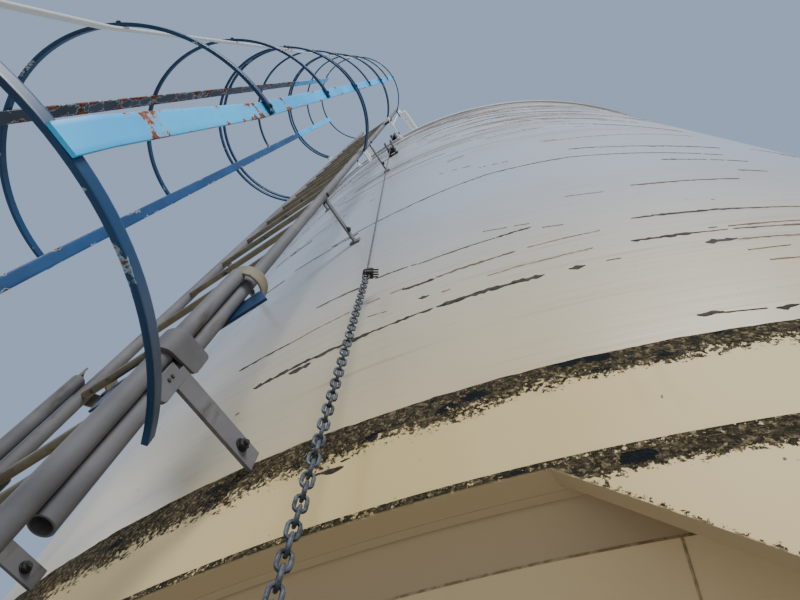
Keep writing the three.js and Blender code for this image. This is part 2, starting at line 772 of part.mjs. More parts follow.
// One strap: upright inside the hoops, leaning out at its foot to meet the lowest hoop.
function strap(angle, outside) {
  const squareness = Math.cos(Math.PI / HOOP_STEPS);
  const face = (HOOP_RADIUS - HOOP_THICK / 2) * squareness - GAP;
  const shift = FOOT_HOOP_X * Math.sin(deg(angle)) + (FOOT_HOOP_Y - CAGE_Y) * Math.cos(deg(angle));
  const foot = outside
    ? (FOOT_HOOP_RADIUS + HOOP_THICK / 2) * squareness + GAP + STRAP_THICK + shift
    : (FOOT_HOOP_RADIUS - HOOP_THICK / 2) * squareness - GAP - STRAP_CORNER + shift;
  const heights = [
    HOOP_HEIGHTS[0] - HOOP_HEIGHT / 2,
    HOOP_HEIGHTS[0] + STRAP_BEND,
    HOOP_HEIGHTS[1] - STRAP_BEND,
    HOOP_HEIGHTS[HOOP_HEIGHTS.length - 1] + HOOP_HEIGHT / 2 + STRAP_OVERRUN,
  ];
  const distances = [foot, foot, face, face];
  const outer = heights.map((z, i) => new THREE.Vector2(distances[i], z));
  const inner = heights.map((z, i) => new THREE.Vector2(distances[i] - STRAP_THICK, z));
  const geometry = sideways(new THREE.Shape([...outer, ...inner.reverse()]), STRAP_WIDTH, 0);
  return solid(geometry.rotateZ(deg(angle)).translate(0, -CAGE_Y, 0));
}

// Cage: hoops outside, straps inside.
function addCage(stiles) {
  HOOP_HEIGHTS.forEach((z, i) => {
    const number = i + 1;
    const offset = LEG_OFFSETS.get(number);
    let body = halfHoop(z);
    if (number === 1) {
      body = footHoop(z, stiles);
    } else if (DOUBLE_HOOPS.includes(number)) {
      const low = leggedHoop(z - DOUBLE_SPACE / 2, offset, stiles);
      const high = leggedHoop(z + DOUBLE_SPACE / 2, offset, stiles);
      const tie = block(TIE_WIDTH, HOOP_THICK, DOUBLE_SPACE, 0, -(CAGE_Y + HOOP_RADIUS), z);
      body = joined([low, high, tie]);
    } else if (offset !== undefined) {
      body = leggedHoop(z, offset, stiles);
    }
    addPiece(`hoop_${number}`, body, "blue");
  });
  STRAP_ANGLES.forEach((angle, i) => {
    addPiece(`cage_strap_${i + 1}`, strap(angle, i + 1 === STRAP_OUTSIDE), "blue");
  });
}

// Everything under the roof's outer face, with its clearance.
function roofSpace() {
  const under = WALL_TOP - ROOF_RISE;
  return turned([
    [0, under],
    [ROOF_OUTER + GAP, under],
    [ROOF_OUTER + GAP, roofZ(ROOF_OUTER) + GAP],
    [CROWN_RADIUS, roofZ(CROWN_RADIUS) + GAP],
    [0, roofZ(CROWN_RADIUS) + GAP],
  ]);
}

// Grab rails: two tubes from the top of each stile inwards over the roof, and a post down on it.
function addGrabRails() {
  const foot = roofZ(RAIL_INNER_Y);
  const linkFoot = ARM_HEIGHTS[ARM_HEIGHTS.length - 1] + ARM_WIDTH / 2 + GAP;
  for (const [name, side] of [["left", -1], ["right", 1]]) {
    const at = (x, distance, z = RAIL_Z) => inFront(side * x, distance, z);
    const tube = (from, to, diameter = RAIL_TUBE) => rod(from, to, diameter, STILE_SIDES);
    const plate = block(
      RAIL_PLATE,
      RAIL_PLATE,
      2 * RAIL_PLATE_THICK,
      side * RAIL_POST_X,
      -RAIL_INNER_Y,
      foot,
    );
    const link = [at(UPPER_STILE_X, RAIL_LINK_FOOT_Y, linkFoot), at(RAIL_LINK_TOP_X, RAIL_LINK_TOP_Y)];
    const rail = joined([
      tube(at(UPPER_STILE_X, UPPER_STILE_Y + RAIL_TUBE / 2), at(RAIL_INNER_X[0], RAIL_INNER_Y)),
      tube(at(RAIL_OUTER_X, RAIL_OUTER_Y), at(RAIL_INNER_X[1], RAIL_INNER_Y)),
      tube(at(RAIL_OUTER_X, RAIL_OUTER_Y), at(UPPER_STILE_X, RAIL_OUTER_Y)),
      tube(at(UPPER_STILE_X, UPPER_STILE_Y, UPPER_TOP + GAP), at(UPPER_STILE_X, UPPER_STILE_Y)),
      tube(at(RAIL_POST_X, RAIL_INNER_Y, foot), at(RAIL_POST_X, RAIL_INNER_Y)),
      tube(link[0], link[1], RAIL_LINK),
      plate,
    ]);
    addPiece(`grab_rail_${name}`, rail.subtract(roofSpace()), "white");
  }
}

// Roller in its cheeks on the rim, over which the lid wire turns down.
function addRoller() {
  const across = (half, diameter, steps) =>
    rod(inFront(-half, ROLLER_Y, ROLLER_Z), inFront(half, ROLLER_Y, ROLLER_Z), diameter, steps);
  const bodies = [
    across(ROLLER_HALF + 2 * CHEEK, ROLLER_PIN, BOLT_SIDES),
    across(ROLLER_HALF, 2 * ROLLER_R, ROLLER_STEPS),
  ];
  const cheekBottom = ROLLER_Z - CHEEK_HEIGHT / 2 - 2 * CHEEK_BASE;
  for (const side of [-1, 1]) {
    const x = side * (ROLLER_HALF + CHEEK / 2 + GAP);
    bodies.push(
      block(CHEEK, CHEEK_DEPTH, CHEEK_HEIGHT, x, CHEEK - ROLLER_Y, cheekBottom + CHEEK_HEIGHT / 2),
    );
  }
  const baseWidth = 2 * (ROLLER_HALF + CHEEK);
  const baseY = CHEEK_BASE + CHEEK - ROLLER_Y;
  bodies.push(block(baseWidth, CHEEK_BASE_DEPTH, CHEEK_BASE, 0, baseY, cheekBottom + CHEEK_BASE / 2));
  const turn = new THREE.Matrix4().makeRotationZ(deg(ROLLER_ANGLE)).elements;
  addPiece("rim_roller", joined(bodies).transform(turn).subtract(roofSpace()), "dark");
}

// Lid wire from the lever to the roller.
function addLidWire(leverTop) {
  const eye = onSilo(ROLLER_ANGLE, LEVER_REACH + GAP, leverTop - LEVER_THICK / 2);
  const over = onSilo(ROLLER_ANGLE, ROLLER_Y, ROLLER_Z + ROLLER_R + ROPE / 2 + GAP);
  const along = new THREE.Vector3().subVectors(over, eye).normalize();
  const start = eye.addScaledVector(along, 1 - GAP);
  addPiece("lid_wire", rod(start, over, ROPE, ROPE_SIDES), "zinc");
}

// Guide on the wall: a plate, two cheeks and a roller that the rope runs down against.
function addRopeGuide(start, end) {
  const part = (GUIDE_Z - start.z) / (end.z - start.z);
  const rope = new THREE.Vector3().lerpVectors(start, end, part);
  const away = Math.hypot(rope.x, rope.y);
  const rollerY = away - ROPE / 2 - GAP - GUIDE_ROLLER_R;
  const across = (half, diameter, steps) =>
    rod(inFront(-half, rollerY, GUIDE_Z), inFront(half, rollerY, GUIDE_Z), diameter, steps);
  const reach = 2 * GUIDE_REACH;
  const bodies = [
    block(2 * GUIDE_PLATE_HALF, 2 * CHEEK, GUIDE_HEIGHT, 0, -WALL_OUTER, GUIDE_Z),
    across(GUIDE_HALF, 2 * GUIDE_ROLLER_R, ROLLER_STEPS),
    across(GUIDE_HALF + 2 * CHEEK, ROLLER_PIN, BOLT_SIDES),
  ];
  for (const side of [-1, 1]) {
    bodies.push(block(CHEEK, reach, GUIDE_HEIGHT, side * GUIDE_HALF, -WALL_OUTER, GUIDE_Z));
  }
  const turn = new THREE.Matrix4().makeRotationZ(Math.atan2(rope.x, -rope.y)).elements;
  addPiece("rope_guide", joined(bodies).transform(turn).subtract(wallSpace), "dark");
}

// The pull rope's lower end is clamped by the clips; the chain runs on from there to a hook.
function addPullLine() {
  const start = onSilo(ROLLER_ANGLE, ROLLER_Y + ROLLER_R + ROPE / 2 + GAP, ROLLER_Z);
  const clip = onSilo(CLIP_ANGLE, CLIP_RADIUS, CLIP_Z);
  const end = onSilo(CHAIN_END_ANGLE, CHAIN_END_RADIUS, CHAIN_END_Z);
  const down = new THREE.Vector3().subVectors(clip, start).normalize();
  const clipTop = clip.clone().addScaledVector(down, -CLIP_LENGTH);
  const ropeEnd = clipTop.clone().addScaledVector(down, -GAP);
  const on = new THREE.Vector3().subVectors(end, clip).normalize();
  const chainTop = clip.clone().addScaledVector(on, 2 * GAP);
  const hookTop = end.clone().addScaledVector(on, GAP);
  const hookEnd = end.clone().addScaledVector(on, HOOK_LENGTH);
  addRopeGuide(start, clip);
  addPiece("pull_rope", rod(start, ropeEnd, ROPE, ROPE_SIDES), "zinc");
  addPiece("rope_clips", rod(clipTop, clip, CHAIN_OUTER, ROPE_SIDES), "zinc");
  addPiece("pull_chain", rod(chainTop, end, CHAIN_OUTER, ROPE_SIDES), "zinc");
  addPiece("chain_hook", rod(hookTop, hookEnd, HOOK_WIDTH, ROPE_SIDES), "zinc");
}

addWall();
addSkirt();
addOutlet(addHopper());
addRoof();
const leverTop = addHatch();
addUpperLadder();
addLowerLadder();
const stiles = stileSpace();
addWallArms();
addClamps(stiles);
addCrossBar(stiles);
addCage(stiles);
addGrabRails();
addRoller();
addLidWire(leverTop);
addPullLine();

const part = new THREE.Group();
part.add(silo);
export default part;
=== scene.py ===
import math

import bpy
import numpy as np
from mathutils import Matrix, Vector


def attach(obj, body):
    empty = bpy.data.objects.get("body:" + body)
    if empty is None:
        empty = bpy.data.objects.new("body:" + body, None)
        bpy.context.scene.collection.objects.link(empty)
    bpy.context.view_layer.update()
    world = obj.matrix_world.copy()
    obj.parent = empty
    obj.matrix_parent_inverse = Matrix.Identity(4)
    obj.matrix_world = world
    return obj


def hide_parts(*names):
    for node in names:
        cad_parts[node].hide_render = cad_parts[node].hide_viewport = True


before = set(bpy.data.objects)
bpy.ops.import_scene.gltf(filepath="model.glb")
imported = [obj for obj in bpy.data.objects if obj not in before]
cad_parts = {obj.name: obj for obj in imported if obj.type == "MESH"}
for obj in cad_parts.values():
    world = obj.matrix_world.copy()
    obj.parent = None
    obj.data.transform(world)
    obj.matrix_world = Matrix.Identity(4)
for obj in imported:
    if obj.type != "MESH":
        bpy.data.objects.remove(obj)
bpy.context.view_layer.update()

# The silo's axis stands behind the middle of the whole box
AXIS_Y = 0.397
GAP = 0.0003
EDGE = 0.002  # how far moulded edges are broken

# Wall
WALL_OUTER = 2.300
WALL_THICK = 0.010
WALL_BOTTOM = 2.097
WALL_TOP = 6.520
WALL_AROUND = 2 * math.pi * WALL_OUTER

# Skirt
RING_TOP = 2.298
RING_OUTER = 2.3153
LEG_INNER = 2.308
LEG_OUTER = 2.328
LEDGE = 2.110
OPENING_TOP_HALF = 0.600
OPENING_HALF = 1.170
OPENING_SHOULDER = WALL_BOTTOM - (OPENING_HALF - OPENING_TOP_HALF)
FOOT_INNER = 2.230
FOOT_THICK = 0.014
FOOT_ANGLES = (30.6, 59.4)

# Hopper and outlet
HOPPER_SLOPE = math.tan(math.radians(36))
HOPPER_OUTER = WALL_OUTER - WALL_THICK - GAP
HOPPER_THICK = 0.010
HOPPER_DROP = HOPPER_THICK / math.cos(math.radians(36))
HOPPER_COLLAR_TOP = 2.278
HOPPER_TOP = 2.122
HOPPER_LAP = 2.247  # radius where the cone laps over its upper ring
HOPPER_SEAM = 17.4
OUTLET_RADIUS = 0.220
OUTLET_DROP = 0.090
OUTLET_WALL = 0.008
OUTLET_FLANGE = 0.060
FLANGE_THICK = 0.010
SLIDE = (0.56, 0.70, 0.008)
SLIDE_GRIP = (0.20, 0.008, 0.060)

# Roof and hatch
ROOF_OUTER = 2.312
ROOF_LIP_BOTTOM = 6.480
ROOF_EDGE = 6.532
ROOF_RISE = 0.430
ROOF_THICK = 0.010
CROWN_RADIUS = 0.400
HATCH_RADIUS = 0.262
HATCH_WALL = 0.010
HATCH_FLANGE = 0.330
HATCH_HEIGHT = 0.150
HATCH_BOLTS = 0.302
LID_WALL = 0.010
LID_LIP = 0.040
LID_CROWN = 0.018
LEVER = (0.030, 0.420, 0.012)
LEVER_MIDDLE = 0.170
LEVER_POSTS = (-0.030, 0.200)
LEVER_LIFT = 0.058

# Ladder
UPPER_STILE = 2.470  # distance in front of the silo's axis
UPPER_HALF = 0.2015
LOWER_STILE = 2.4965
LOWER_HALF = 0.209
STILE = 0.0269
TUBE_WALL = 0.0026
UPPER_BOTTOM = 2.038
UPPER_TOP = 7.585
LOWER_BOTTOM = 0.300
LOWER_TOP = 2.643
RUNG = 0.016
RUNG_STEP = 0.270
UPPER_FIRST_RUNG = 2.330
LOWER_FIRST_RUNG = 0.467
ARM_HEIGHTS = (3.470, 4.870, 6.440)
ARM_WIDTH = 0.030
ARM_THICK = 0.006
ARM_FOOT = 0.036
ARM_BOLT = 2.338  # distance of the bolt at an arm's wall end
LOW_ARM = 2.300
LOW_ARM_WIDTH = 0.040
LUG_DEPTH = 0.028
LUG_HEIGHTS = (2.240, 2.308)
LUG_CORNER = 0.009
LUG_RIVETS = (2.277, 2.287)

# Clamps round both stiles, the saddles above them, and the bar behind the right stile
CLAMP_THICK = 0.006
CLAMP_FRONT = (2.295, 2.355)
CLAMP_BACK = (2.335, 2.390)
CLAMP_TIP = 2.448
CLAMP_CORNER = 0.009
CLAMP_TURN = 150
SADDLE = (0.199, 2.468)
SADDLE_RADIUS = 0.038
SADDLE_WALL = 0.004
SADDLE_HEIGHTS = (2.626, 2.668)
SADDLE_BOLT = 2.660
CROSS_BAR = (-0.120, 0.288)
CROSS_BAR_SLANT = 0.044
CROSS_BAR_HEIGHTS = (2.505, 2.602)
CROSS_BAR_THICK = 0.005

# Cage
CAGE = 2.739  # distance of its middle in front of the silo's axis
HOOP_RADIUS = 0.350
HOOP_HEIGHT = 0.020
HOOP_THICK = 0.008
HOOP_HEIGHTS = (2.170, 2.981, 3.733, 4.503, 5.135, 5.911, 6.542, 7.202)
DOUBLE_HOOPS = (4, 6)
DOUBLE_SPACE = 0.060
LEG_OFFSETS = {4: 0.0, 6: 0.036, 8: 0.0}
LEG_END = 2.412
FOOT_HOOP = (0.015, 2.749)
FOOT_HOOP_RADIUS = 0.369
FOOT_HOOP_END = 2.450
FLAT = math.cos(math.radians(5))  # the CAD's hoops have flats, which are nearer than their corners
STRAP_WIDTH = 0.035
STRAP_THICK = 0.005
STRAP_ANGLES = (-88.5, -28.5, 31.5, 91.5)
STRAP_OUTSIDE = 4
STRAP_OVERRUN = 0.025
STRAP_BEND = 0.060

# Grab rails
RAIL_TUBE = 0.027
RAIL = 7.600
RAIL_INNER = 2.130
RAIL_INNER_X = (0.239, 0.262)
RAIL_OUTER = (0.248, 2.415)
RAIL_POST_X = 0.250
RAIL_BEND = 0.030
LINK_TOP = (0.209, 2.447)

# Roller at the rim, wire rope, clips and chain that work the hatch lid, and the rope's guide
ROLLER_ANGLE = 3.5
ROLLER = 6.590
ROLLER_DISTANCE = 2.318
ROLLER_RADIUS = 0.030
ROLLER_HALF = 0.014
ROLLER_PROFILE = (
    (0.0, 0.008), (0.0, 0.030), (0.004, 0.030), (0.009, 0.024), (0.014, 0.022), (0.019, 0.024),
    (0.024, 0.030), (0.028, 0.030), (0.028, 0.008),
)
CHEEK = (0.090, 0.005, 0.120)
ROPE = 0.005
ROPE_STRANDS = 6
ROPE_LAY = 0.035
ROPE_TURN = ROLLER_RADIUS + ROPE / 2 + GAP
LEVER_REACH = 0.380
CHAIN_WIDTH = 0.015
CHAIN_WIRE = 0.0042
CHAIN_PITCH = 0.0175
CLIP_END = (8.6, 2.350, 2.807)  # angle, radius and height
CLIP_LENGTH = 0.062
CLIP_FACE = (0.83, 0.55, 0.05)
CLIP_PLACES = (0.12, 0.40)
CLIP_SADDLE = (0.017, 0.007, 0.010)
CLIP_WIRE = 0.004
CLIP_HALF = 0.0055
CLIP_LEG = 0.026
CHAIN_END = (10.1, 2.408, 1.800)
HOOK_LENGTH = 0.090
HOOK_WIDTH = 0.024
HOOK_WIRE = 0.006
CHAIN_FACE = (0.35, -0.25, -0.9)
GUIDE = 5.530
GUIDE_REACH = 0.092
GUIDE_HEIGHT = 0.060
GUIDE_HALF = 0.020
GUIDE_ROLLER = 0.017
GUIDE_PLATE = (0.066, 0.0045, GUIDE_HEIGHT)
GUIDE_BOLTS = (0.027, 0.020)
PIN = 0.012

# Bolts by where they sit: width across flats, height of the head and washer
BOLTS = {
    "clip": (0.0085, 0.006, 0.009),
    "outlet": (0.017, 0.008, 0.022),
    "hatch": (0.013, 0.006, 0.018),
    "rung": (0.008, 0.004, 0.010),
    "arm": (0.015, 0.007, 0.020),
    "low arm": (0.015, 0.008, 0.020),
    "stile": (0.011, 0.005, 0.015),
    "saddle": (0.026, 0.012, 0.032),
    "strap": (0.008, 0.004, 0.011),
    "guide": (0.008, 0.005, 0.010),
}

# The photograph's camera
CAMERA_AT = (0.6946, AXIS_Y - 2.599, 1.650)
CAMERA_HEADING = 40.95  # degrees anticlockwise from +Y
CAMERA_ELEVATION = 67.99
CAMERA_ROLL = 8.12
CAMERA_LENS = 26.16
SENSOR = 36.0

FLOOR_HALF = 40.0
LAMPS_FACE = (0.0, 0.0, 3.5)

UP = np.array([0.0, 0.0, 1.0])
SIDEWAYS = np.array([1.0, 0.0, 0.0])
FORWARD = np.array([0.0, -1.0, 0.0])


def on_silo(angle, radius, z):
    """Points by angle off the ladder's side, radius and height: x = r sin a, y = axis - r cos a."""
    a, radius, z = np.broadcast_arrays(np.radians(angle), radius, z)
    return np.stack([radius * np.sin(a), AXIS_Y - radius * np.cos(a), z], axis=-1)


def in_front(x, distance, z):
    """Points by their distance in front of the silo's axis, towards the ladder."""
    x, distance, z = np.broadcast_arrays(x, distance, z)
    return np.stack([x, AXIS_Y - distance, z], axis=-1).astype(float)


def on_cage(angle, radius, z):
    """Points by angle off the cage's front, radius from the cage's middle, and height."""
    a, radius, z = np.broadcast_arrays(np.radians(angle), radius, z)
    return in_front(radius * np.sin(a), CAGE + radius * np.cos(a), z)


def level_out(angle):
    """The level direction away from the silo's axis, or from the cage's middle, at an angle."""
    return np.array([math.sin(math.radians(angle)), -math.cos(math.radians(angle)), 0.0])


def all_round(steps):
    """Angles all the way round, as one row."""
    return (np.arange(steps) * 360 / steps - 180)[None, :]


def along_wall(angles):
    """Metres along the wall from its back to the angles."""
    return (angles + 180) / 360 * WALL_AROUND


def rope_start():
    """Where the rope leaves the roller at the rim."""
    return on_silo(ROLLER_ANGLE, ROLLER_DISTANCE + ROPE_TURN, ROLLER)


def unit(vector):
    """The vector divided by its length."""
    vector = np.asarray(vector, float)
    return vector / np.linalg.norm(vector, axis=-1, keepdims=True)


def hills(u, v, size, seed, around=None):
    """Smooth random heights from 0 to 1: a lattice of random numbers, size metres apart, blended
    with a smooth step between its points. With around, the lattice closes after that many metres."""
    count = 4096 if around is None else max(3, round(around / size))
    cell_u = u / size if around is None else u / around * count
    cell_v = v / size
    numbers = np.random.default_rng(seed).random((count, 512))
    low_u, low_v = np.floor(cell_u).astype(int), np.floor(cell_v).astype(int)
    part_u, part_v = cell_u - low_u, cell_v - low_v
    part_u, part_v = part_u**2 * (3 - 2 * part_u), part_v**2 * (3 - 2 * part_v)
    pick = lambda du, dv: numbers[(low_u + du) % count, (low_v + dv) % 512]
    low = pick(0, 0) * (1 - part_u) + pick(1, 0) * part_u
    high = pick(0, 1) * (1 - part_u) + pick(1, 1) * part_u
    return low * (1 - part_v) + high * part_v


def step(value, low, high):
    """0 under low, 1 over high, and a smooth rise between."""
    share = np.clip((value - low) / (high - low), 0, 1)
    return share * share * (3 - 2 * share)


def grid(points, close_rows=False, close_columns=False, capped=False, **fields):
    """A surface through points[row, column], one four-sided face for each cell. fields hold a number
    at each point, for materials. capped closes the first and the last row."""
    rows, columns = points.shape[:2]
    row, column = np.meshgrid(
        np.arange(rows if close_rows else rows - 1),
        np.arange(columns if close_columns else columns - 1),
        indexing="ij",
    )
    row = np.stack([row, row, row + 1, row + 1], -1).reshape(-1, 4) % rows
    column = np.stack([column, column + 1, column + 1, column], -1).reshape(-1, 4) % columns
    ends = [list(range(columns))[::-1], list(range((rows - 1) * columns, rows * columns))]
    return {
        "points": points.reshape(-1, 3),
        "quads": row * columns + column,
        "caps": ends if capped else [],
        "fields": {name: np.broadcast_to(f, points.shape[:2]).ravel() for name, f in fields.items()},
    }


def joined(shapes):
    """Several shapes as one, with their faces counted on."""
    firsts = np.concatenate([[0], np.cumsum([len(s["points"]) for s in shapes])])
    names = sorted({name for s in shapes for name in s["fields"]})
    return {
        "points": np.concatenate([s["points"] for s in shapes]),
        "quads": np.concatenate([s["quads"] + first for s, first in zip(shapes, firsts)]),
        "caps": [[int(first) + i for i in cap] for s, first in zip(shapes, firsts) for cap in s["caps"]],
        "fields": {
            name: np.concatenate([s["fields"].get(name, np.zeros(len(s["points"]))) for s in shapes])
            for name in names
        },
    }


def outward(shape):
    """The closed shape with its faces turned outwards: its enclosed volume is made positive."""
    points = shape["points"] - shape["points"].mean(0)
    a, b, c, d = (points[shape["quads"][:, i]] for i in range(4))
    volume = (np.cross(a, b) * c).sum() + (np.cross(a, c) * d).sum()
    for cap in shape["caps"]:
        corner = points[cap]
        volume += (np.cross(corner[1:-1], corner[2:]) @ corner[0]).sum()
    if volume >= 0:
        return shape
    return {**shape, "quads": shape["quads"][:, ::-1], "caps": [cap[::-1] for cap in shape["caps"]]}


def turned(profile, steps, **fields):
    """A closed profile of [radius, height] points turned round the silo's axis."""
    profile = np.asarray(profile, float)
    points = on_silo(all_round(steps), profile[:, :1], profile[:, 1:])
    return outward(grid(points, True, True, **fields))


def carried(section, path, side, closed=False, **fields):
    """A flat outline carried along a path: path point + a * side + b * (direction x side)."""
    path, section = np.asarray(path, float), np.asarray(section, float)
    if closed:
        along = unit(np.roll(path, -1, 0) - np.roll(path, 1, 0))
    else:
        along = unit(np.gradient(path, axis=0))
    side = np.broadcast_to(np.asarray(side, float), path.shape)
    side = unit(side - (side * along).sum(1, keepdims=True) * along)
    third = np.cross(along, side)
    points = (
        path[:, None]
        + section[None, :, :1] * side[:, None]
        + section[None, :, 1:] * third[:, None]
    )
    return outward(grid(points, closed, True, capped=not closed, **fields))


def circle(diameter, sides):
    """A round outline."""
    t = np.arange(sides) * 2 * np.pi / sides
    return np.stack([np.cos(t), np.sin(t)], -1) * diameter / 2


def bar_outline(width, thick, corner=0.0012):
    """A flat bar's outline with rounded corners, and how near each point is to a bar edge."""
    quarter = np.linspace(0, np.pi / 2, 3)
    a, b, near = [], [], []
    for turn, (sa, sb) in enumerate([(1, 1), (-1, 1), (-1, -1), (1, -1)]):
        t = quarter + turn * np.pi / 2
        a += list(sa * (width / 2 - corner) + corner * np.cos(t))
        b += list(sb * (thick / 2 - corner) + corner * np.sin(t))
        near += [1.0] * 3
        if sb == 1 and sa == 1:
            inner = np.linspace(1, -1, 7)[1:-1] * (width / 2 - corner)
        elif sb == -1 and sa == -1:
            inner = np.linspace(-1, 1, 7)[1:-1] * (width / 2 - corner)
        else:
            continue
        a += list(inner)
        b += [sb * thick / 2] * len(inner)
        near += list(step(np.abs(inner), width * 0.12, width * 0.5))
    return np.stack([a, b], -1), np.array(near)


def spun(at, axis, rows, sides, hollow=False):
    """Rows of [distance, diameter] turned round an axis from a point. The two ends are capped, or
    where it is hollow the last row joins the first."""
    axis = unit(axis)
    side = unit(np.cross(axis, UP if abs(axis[2]) < 0.9 else SIDEWAYS))
    third = np.cross(axis, side)
    ring = circle(1, sides)
    points = np.stack([
        np.asarray(at, float) + run * axis + wide * (ring[:, :1] * side + ring[:, 1:] * third)
        for run, wide in rows
    ])
    return outward(grid(points, hollow, True, capped=not hollow))


def rod(start, end, diameter, sides=24, bevel=0.0008):
    """A round bar between two points, its end edges broken."""
    way = np.asarray(end, float) - start
    run, tip = np.linalg.norm(way), diameter - 2 * bevel
    return spun(start, way, [(0, tip), (bevel, diameter), (run - bevel, diameter), (run, tip)], sides)


def open_tube(low, high, outer, wall):
    """An upright tube with its bore open at both ends: outer skin up, bore down."""
    run, bore = high[2] - low[2], outer - 2 * wall
    return spun(low, UP, [(0, outer), (run, outer), (run, bore), (0, bore)], 32, hollow=True)


def dome(at, diameter, height):
    """A rounded cap: rings that shrink as a quarter circle up to its top."""
    t = np.linspace(0, np.pi / 2, 7)[:-1]
    rows = [(-height * 0.5, diameter)] + list(zip(height * np.sin(t), diameter * np.cos(t)))
    return spun(at, UP, rows, 32)


def plate(outline, thick, at, across, up):
    """A flat outline made thick: at + a * across + b * up, half the thickness to each side."""
    outline = np.asarray(outline, float)
    across, up = unit(across), unit(up)
    away = np.cross(across, up)
    face = np.asarray(at, float) + outline[:, :1] * across + outline[:, 1:] * up
    points = np.stack([face - away * thick / 2, face + away * thick / 2])
    return outward(grid(points, False, True, capped=True))


def block(size, at, across=SIDEWAYS, up=UP):
    """A plain block of width, depth and height."""
    half_w, half_h = size[0] / 2, size[2] / 2
    outline = [(-half_w, -half_h), (half_w, -half_h), (half_w, half_h), (-half_w, half_h)]
    return plate(outline, size[1], at, across, up)


def hex_bolt(at, axis, kind, tail=0.0):
    """A hexagon head on a washer, its top edge broken, and a thread end where it has a tail."""
    width, height, washer = BOLTS[kind]
    corners = width / math.cos(math.pi / 6)
    shapes = [
        spun(at, axis, [(-0.001, washer), (0.002, washer)], 16),
        spun(at, axis, [(0.0015, corners), (height - 0.001, corners), (height, 0.86 * corners)], 6),
    ]
    if tail:
        along = unit(axis)
        shapes.append(rod(at + along * height * 0.5, at + along * (height + tail), width * 0.55, 12))
    return joined(shapes)


def make_piece(name, shape, material, replaces=(), sharp=35, bevel=0.0):
    """A mesh object at the origin from a shape; it rides on the silo and stands for CAD nodes."""
    mesh = bpy.data.meshes.new(name)
    mesh.from_pydata(shape["points"].tolist(), [], shape["quads"].tolist() + shape["caps"])
    for field, values in shape["fields"].items():
        attribute = mesh.attributes.new(field, "FLOAT", "POINT")
        attribute.data.foreach_set("value", values.astype(np.float32))
    mesh.polygons.foreach_set("use_smooth", [True] * len(mesh.polygons))
    mesh.set_sharp_from_angle(angle=math.radians(sharp))
    mesh.materials.append(material)
    piece = bpy.data.objects.new(name, mesh)
    bpy.context.scene.collection.objects.link(piece)
    if bevel:
        rounding = piece.modifiers.new("edge", "BEVEL")
        rounding.width = bevel
        rounding.segments = 2
        rounding.limit_method = "ANGLE"
        rounding.angle_limit = math.radians(40)
    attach(piece, "root")
    if replaces:
        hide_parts(*replaces)
    return piece


def colour(code):
    """An sRGB hex colour as linear red, green, blue and alpha. One that nodes give stays as it is."""
    if not isinstance(code, str):
        return code
    parts = [int(code[i:i + 2], 16) / 255 for i in (1, 3, 5)]
    return tuple(p / 12.92 if p <= 0.04045 else ((p + 0.055) / 1.055) ** 2.4 for p in parts) + (1,)


def add(tree, kind, inputs=None, output=0, **settings):
    """Adds a node, sets its fields, sets or links its inputs by name or number, gives an output."""
    made = tree.nodes.new("ShaderNode" + kind)
    for field, value in settings.items():
        setattr(made, field, value)
    for socket, value in (inputs or {}).items():
        if isinstance(value, bpy.types.NodeSocket):
            tree.links.new(value, made.inputs[socket])
        else:
            made.inputs[socket].default_value = value
    return made.outputs[output] if len(made.outputs) else None


def start_material(name):
    """An empty material, its tree, and the place on the piece that its patterns start from."""
    material = bpy.data.materials.new(name)
    material.use_nodes = True
    tree = material.node_tree
    tree.nodes.clear()
    return material, tree, add(tree, "TexCoord", output="Object")


def finish_material(tree, inputs, height, depth, strength=1.0):
    """The shader with its inputs and with bump of a depth in metres."""
    normal = add(tree, "Bump", {"Height": height, "Distance": depth, "Strength": strength})
    shader = add(tree, "BsdfPrincipled", {**inputs, "Normal": normal})
    add(tree, "OutputMaterial", {"Surface": shader})


def spots(tree, place, scale, low, high, detail=4.0, rough=0.6, stretch=(1, 1, 1), shares=()):
    """A mask of noise, its place stretched along each axis: 0 under low, 1 over high, and then
    multiplied by each of the shares."""
    place = add(tree, "Mapping", {"Vector": place, "Scale": stretch})
    noise = add(tree, "TexNoise", {"Vector": place, "Scale": scale, "Detail": detail, "Roughness": rough})
    mask = add(tree, "MapRange", {0: noise, 1: low, 2: high}, interpolation_type="SMOOTHSTEP")
    for share in shares:
        mask = add(tree, "Math", {0: mask, 1: share}, operation="MULTIPLY")
    return mask


def layered(tree, ground, *layers):
    """A ground colour with others laid over it in turn, each as far as its mask says."""
    base = colour(ground)
    for mask, over in layers:
        base = add(tree, "Mix", {0: mask, 6: base, 7: colour(over)}, output=2, data_type="RGBA")
    return base


def coat(name, ground, layers, rough, depth, detail=5.0, bump=0, metal=0.0, specular=0.5):
    """Paint or bare steel: a ground colour under layers of patches. Each layer has its noise's scale,
    low and high limit, stretch along each axis, and colour. Bump follows the layer of that number."""
    material, tree, place = start_material(name)
    masks = [
        spots(tree, place, scale, low, high, detail, stretch=stretch)
        for scale, low, high, stretch, _ in layers
    ]
    finish_material(tree, {
        "Base Color": layered(tree, ground, *zip(masks, [layer[-1] for layer in layers])),
        "Roughness": rough, "Metallic": metal, "Specular IOR Level": specular,
    }, masks[bump], depth)
    return material


